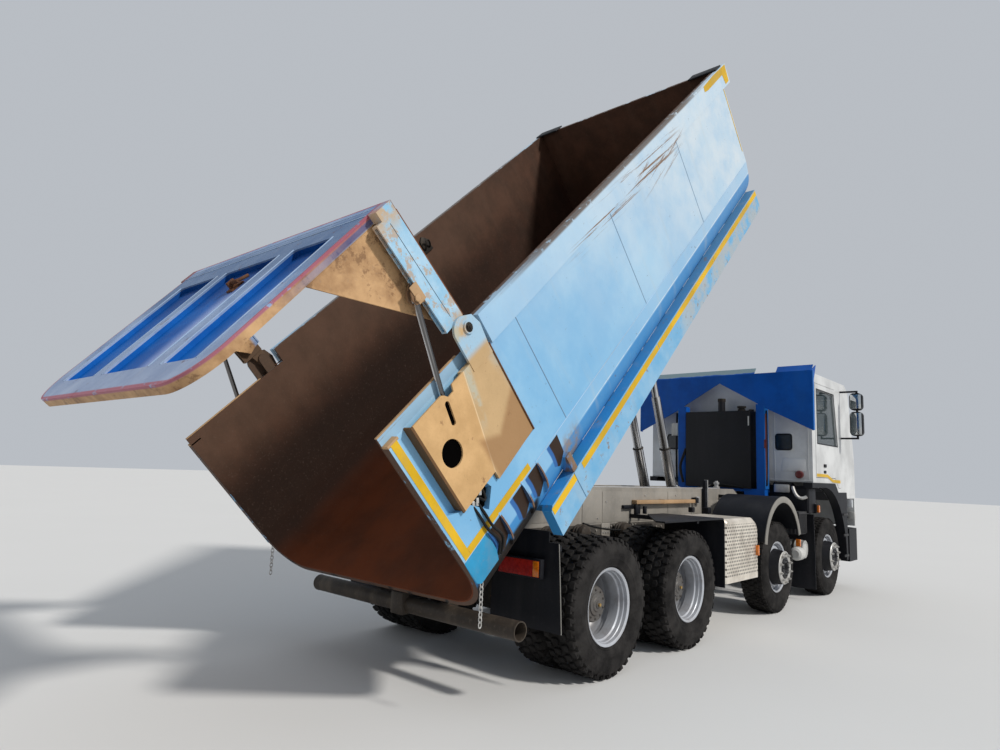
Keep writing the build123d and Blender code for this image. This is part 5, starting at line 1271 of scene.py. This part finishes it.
class TRUCK_OT_cab_trim(bpy.types.Operator):
    """Windows, handles, lamps, visor, grille bars and inside of the cab"""
    bl_idname = "truck.cab_trim"
    bl_label = "Cab trim"

    def execute(self, context):
        back = rear_axes(5.03)
        frames = []
        for y in (-0.837, 0.837):
            ring = [(y - 0.115, 1.995), (y + 0.115, 1.995), (y + 0.125, 2.005), (y + 0.125, 2.235),
                    (y + 0.115, 2.245), (y - 0.115, 2.245), (y - 0.125, 2.235), (y - 0.125, 2.005)]
            frames.append(plate(ring, back, 0.006, 0.002))
        panel = [(0.8, 1.725), (0.815, 1.712), (1.115, 1.712), (1.13, 1.73), (1.13, 1.872), (1.105, 1.895),
                 (0.84, 1.895), (0.82, 1.872)]
        frames.append(plate(panel, back, 0.01, 0.004))
        frames += blocks(back, *((y, 1.6, 0.0, y + 0.012, 2.95, 0.008, 0.003) for y in (0.55, 0.7, 1.155)),
                         (-1.2, 1.585, 0.0, 1.2, 1.605, 0.006, 0.002))
        settle("cab_back_panels", frames, "cab")
        gasket = [plate(rounded(y, 2.12, 0.118, 0.045), rear_axes(5.0236), 0.006, 0.002)
                  for y in (-0.837, 0.837)]
        settle("cab_back_gaskets", gasket, "plastic")
        panes = [plate(rounded(y, 2.12, 0.098, 0.03), rear_axes(5.0175), 0.0015) for y in (-0.837, 0.837)]
        settle("cab_back_windows", panes, "dark glass")
        lamp = [lathe([(0, 0), (0, 0.052), (0.03, 0.056), (0.055, 0.048), (0.062, 0.0)],
                      row(5.028, -1.045, 1.672), (-1, 0, 0), 28)]
        settle("cab_back_lamp", lamp, "dark red")
        under = (blocks(rear_axes(4.985), (0.5, 1.16, -0.3, 1.17, 1.5, 0.0, 0.02),
                        (0.7, 1.4, -0.1, 0.95, 1.56, 0.03, 0.02))
                 + [rod(row(5.0, -1.14, 1.2), row(5.0, -1.14, 1.52), 0.02, 12)])
        settle("cab_underside", under, "plastic")
        made = [block((0.72, 1.42, 0.03), (0.93, 1.53, 0.05), rear_axes(4.985), 0.012),
                tube([(4.93, -0.98, 1.5), (4.88, -1.02, 1.4), (4.9, -1.1, 1.34), (4.93, -1.16, 1.38)], 0.022),
                tube([(4.93, -0.6, 1.3), (4.85, -0.75, 1.22), (4.88, -0.95, 1.26)], 0.012)]
        settle("cab_valves", made, "alloy")
        visor = plate([(6.66, 3.088), (6.82, 3.06), (7.02, 2.9), (7.03, 2.91), (6.84, 3.076), (6.66, 3.1)],
                      side_axes(1.15), 2.3, 0.002)
        rails = [rod(row(6.55, y, 3.09), row(6.55, y, 3.135), 0.05, 20, edge=0.006) for y in (-0.85, 0.85)]
        settle("cab_visor", [visor] + rails, "plastic")
        bars = [block((-0.8, 1.235 + 0.085 * i, 0.0), (0.8, 1.275 + 0.085 * i, 0.014),
                      axes(row(7.09, 0, 0), ACROSS, UP), 0.006) for i in range(6)]
        settle("grille_bars", bars, "plastic")
        wipers = []
        for y in (-0.35, 0.55):
            arm = [(7.03, y, 2.13), (6.985, y - 0.2, 2.32), (6.945, y - 0.35, 2.48)]
            blade = [(6.975, y - 0.55, 2.37), (6.948, y - 0.35, 2.48), (6.92, y - 0.15, 2.59)]
            wipers += [tube(arm, 0.009, 2), tube(blade, 0.006, 2)]
        settle("wipers", wipers, "plastic")
        rake = radians(-25)
        hub = row(6.38, 0.56, 2.06)
        way = Vector((sin(rake), 0, cos(rake)))
        clear()
        bpy.ops.mesh.primitive_torus_add(location=hub, rotation=(0, rake, 0), major_segments=40,
                                         minor_segments=8, major_radius=0.23, minor_radius=0.015)
        wheel = [bpy.context.object]
        bpy.ops.object.transform_apply(location=True, rotation=True, scale=True)
        wheel += [rod(hub - way * 0.3, hub - way * 0.02, 0.035, 16),
                  rod(hub - way * 0.03, hub + way * 0.012, 0.06, 24, edge=0.008)]
        for turn in (90, 210, 330):
            t = radians(turn)
            rim = hub + ACROSS * cos(t) * 0.22 + way.cross(ACROSS) * sin(t) * 0.22
            wheel.append(rod(hub - way * 0.01, rim, 0.012, 10))
        settle("steering_wheel", wheel, "plastic")
        for hand, sign in HANDS.items():
            flip = mirrored if sign > 0 else lambda o: o
            handle = blocks(side_axes(0), (5.5, 1.79, 1.2165, 5.6, 1.835, 1.232, 0.006),
                            (5.5, 1.705, 1.2165, 5.6, 1.745, 1.226, 0.006))
            rim = [(5.235, 2.105), (5.235, 2.885), (6.055, 2.885), (6.205, 2.105)]
            gone = [(5.25, 2.12), (5.25, 2.87), (6.04, 2.87), (6.19, 2.12)]
            bars = [plate([rim[i], rim[(i + 1) % 4], gone[(i + 1) % 4], gone[i]], side_axes(-1.2165), 0.003)
                    for i in range(4)]
            made = [flip(o) for o in handle + bars]
            if sign > 0:
                for o in handle + bars:
                    bpy.data.objects.remove(o)
            settle(f"door_trim_{hand}", made, "plastic", f"door_{hand}")
        glass = [block((1.378, low, 0.0), (1.527, high, 0.003), rear_axes(6.3098), 0.001)
                 for low, high in ((2.303, 2.627), (2.69, 2.903))]
        settle("mirror_glass", both(glass), "mirror")
        steps = [block((6.33, z, 1.2245), (6.55, z + 0.035, 1.24), side_axes(0), 0.005)
                 for z in (0.5, 0.8, 1.1)]
        settle("step_treads", both(steps), "grey plastic")
        return {"FINISHED"}


class TRUCK_OT_tower_trim(bpy.types.Operator):
    """Fittings, hoses and boxes at the cab guard and its tank"""
    bl_idname = "truck.tower_trim"
    bl_label = "Guard and tank trim"

    def execute(self, context):
        filler = [(0, 0), (0, 0.055), (0.03, 0.055), (0.03, 0.042), (0.05, 0.042), (0.05, 0.062),
                  (0.075, 0.062), (0.08, 0.0)]
        caps = [lathe(filler, row(4.88, -0.3, 2.55), UP, 24),
                lathe([(0, 0.045), (0, 0.056), (0.045, 0.056), (0.045, 0)], row(4.88, 0, 2.7), UP, 24),
                rod(row(4.88, -0.44, 2.55), row(4.88, -0.44, 2.575), 0.035, 20, edge=0.004)]
        settle("tank_caps", caps, "iron")
        white = [block((-0.775, 2.2, 0.0), (-0.668, 2.392, 0.05), rear_axes(4.86), 0.006),
                 block((0.435, 2.335, 0.0), (0.452, 2.47, 0.002), rear_axes(4.759), 0)]
        settle("tower_boxes", white, "white")
        hose = [tube([(4.8, 0.53, 2.0), (4.74, 0.56, 1.85), (4.73, 0.6, 1.7), (4.76, 0.55, 1.5)], 0.02),
                tube([(4.85, 0.7, 2.55), (4.85, 0.72, 2.0), (4.83, 0.69, 1.5)], 0.016),
                tube([(4.84, -0.672, 2.55), (4.86, -0.675, 2.1), (4.83, -0.67, 1.5)], 0.01),
                tube([(4.76, -0.36, 1.46), (4.7, -0.1, 1.5), (4.62, 0.1, 1.47), (4.2, 0.15, 1.4)], 0.018)]
        settle("tower_hoses", hose, "hose")
        cable = [(4.82, -0.662, 2.5), (4.82, -0.66, 2.0), (4.82, -0.662, 1.7), (4.84, -0.66, 1.5)]
        red = [tube(cable, 0.011), block((0.648, 2.02, 0.0), (0.672, 2.14, 0.02), rear_axes(4.81), 0.003)]
        settle("tower_cable", red, "dark red")
        flange = blocks(rear_axes(4.8), (-0.657, 1.455, -0.14, -0.6455, 2.62, 0.001, 0.001),
                        (-1.312, 2.27, -0.045, -1.3005, 3.075, 0.002, 0.001))
        # The flanges take the lighter guard paint: painted sunlight on them.
        settle("guard_flanges", both(flange), "sunlit guard")
        for hand_y in (-0.186, 0.186):
            side_name = "right" if hand_y < 0 else "left"
            base = row(3.095, hand_y, 1.15)
            eye = bed(4.152, hand_y, -0.131)
            way = (eye - base).normalized()
            stroke = ((eye - base).length - 0.259) / 4
            rows = [("hoist_barrels", 0.1595, 0.05, 0.073, 0.0615),
                    ("hoist_stage_1", 0.18 + stroke, 0.018, 0.061, 0.0515)]
            for body, reach, long, outer, inner in rows:
                profile = [(-long, outer + 0.0005), (-long + 0.004, outer + 0.006), (-0.004, outer + 0.006),
                           (0.001, outer + 0.002), (0.001, inner + 0.0005), (-0.001, inner + 0.0005),
                           (-0.001, outer + 0.0005)]
                ring = lathe(profile, base + way * reach, way, 36)
                settle(f"collar_{body[6:]}_{side_name}", [ring], "iron", body)
        return {"FINISHED"}


class TRUCK_OT_stage(bpy.types.Operator):
    """Floor, soft light and the camera at the photograph's place"""
    bl_idname = "truck.stage"
    bl_label = "Stage"

    def execute(self, context):
        clear()
        bpy.ops.mesh.primitive_plane_add(size=160, location=(0, 0, 0))
        floor = bpy.context.object
        floor.name = "floor"
        f = Finish("studio floor", 0.9)
        f.colour(f.mix(f.noise(0.4, 3).step(0.3, 0.7), (0.617, 0.617, 0.612), (0.623, 0.623, 0.618)))
        floor.data.materials.append(f.mat)
        world = bpy.data.worlds.new("studio")
        context.scene.world = world
        world.use_nodes = True
        sky = world.node_tree.nodes["Background"]
        sky.inputs["Color"].default_value = (0.88, 0.93, 1.0, 1)
        sky.inputs["Strength"].default_value = 0.55
        sun = bpy.data.lights.new("key", "SUN")
        sun.energy = 2.75
        sun.angle = radians(6)
        sun.color = (1.0, 0.96, 0.9)
        lamp = bpy.data.objects.new("key", sun)
        context.collection.objects.link(lamp)
        lamp.rotation_euler = Vector((0.1, -0.8, 0.72)).to_track_quat("Z", "Y").to_euler()
        yaw, pitch, roll = 0.7335, 0.1397, -0.0408
        ahead = Vector((cos(yaw) * cos(pitch), sin(yaw) * cos(pitch), sin(pitch)))
        right = Vector((sin(yaw), -cos(yaw), 0))
        down = ahead.cross(right)
        right_2 = right * cos(roll) + down * sin(roll)
        down_2 = -right * sin(roll) + down * cos(roll)
        camera = bpy.data.objects.new("photo_camera", bpy.data.cameras.new("photo_camera"))
        context.collection.objects.link(camera)
        m = Matrix((right_2, -down_2, -ahead)).transposed().to_4x4()
        m.translation = (REAR_X - 4.702, -4.192, 1.572)
        camera.matrix_world = m
        camera.data.sensor_width = 36
        camera.data.lens = 24.24
        camera.data.clip_end = 400
        context.scene.camera = camera
        context.scene.view_settings.view_transform = "Standard"
        return {"FINISHED"}


OPERATORS = [
    TRUCK_OT_paint, TRUCK_OT_tyres, TRUCK_OT_wheels, TRUCK_OT_tapes, TRUCK_OT_bed_trim, TRUCK_OT_gate_trim,
    TRUCK_OT_chassis_trim, TRUCK_OT_cab_trim, TRUCK_OT_tower_trim, TRUCK_OT_stage,
]


class TRUCK_PT_panel(bpy.types.Panel):
    """Every step of the dressing, in order"""
    bl_idname = "TRUCK_PT_panel"
    bl_label = "Dump truck"
    bl_space_type = "VIEW_3D"
    bl_region_type = "UI"
    bl_category = "Truck"

    def draw(self, context):
        for group in (context.scene.truck_colours, context.scene.truck_sizes):
            for name in group.bl_rna.properties.keys():
                if name not in ("rna_type", "name"):
                    self.layout.prop(group, name)
        for operator in OPERATORS:
            self.layout.operator(operator.bl_idname)


CLASSES = [TruckColours, TruckSizes, *OPERATORS, TRUCK_PT_panel]


def register():
    for c in CLASSES:
        bpy.utils.register_class(c)
    bpy.types.Scene.truck_colours = bpy.props.PointerProperty(type=TruckColours)
    bpy.types.Scene.truck_sizes = bpy.props.PointerProperty(type=TruckSizes)


def unregister():
    del bpy.types.Scene.truck_sizes
    del bpy.types.Scene.truck_colours
    for c in reversed(CLASSES):
        bpy.utils.unregister_class(c)


def main():
    register()
    for operator in OPERATORS:
        group, name = operator.bl_idname.split(".")
        getattr(getattr(bpy.ops, group), name)()
    bpy.context.view_layer.update()


if __name__ == "__main__":
    main()
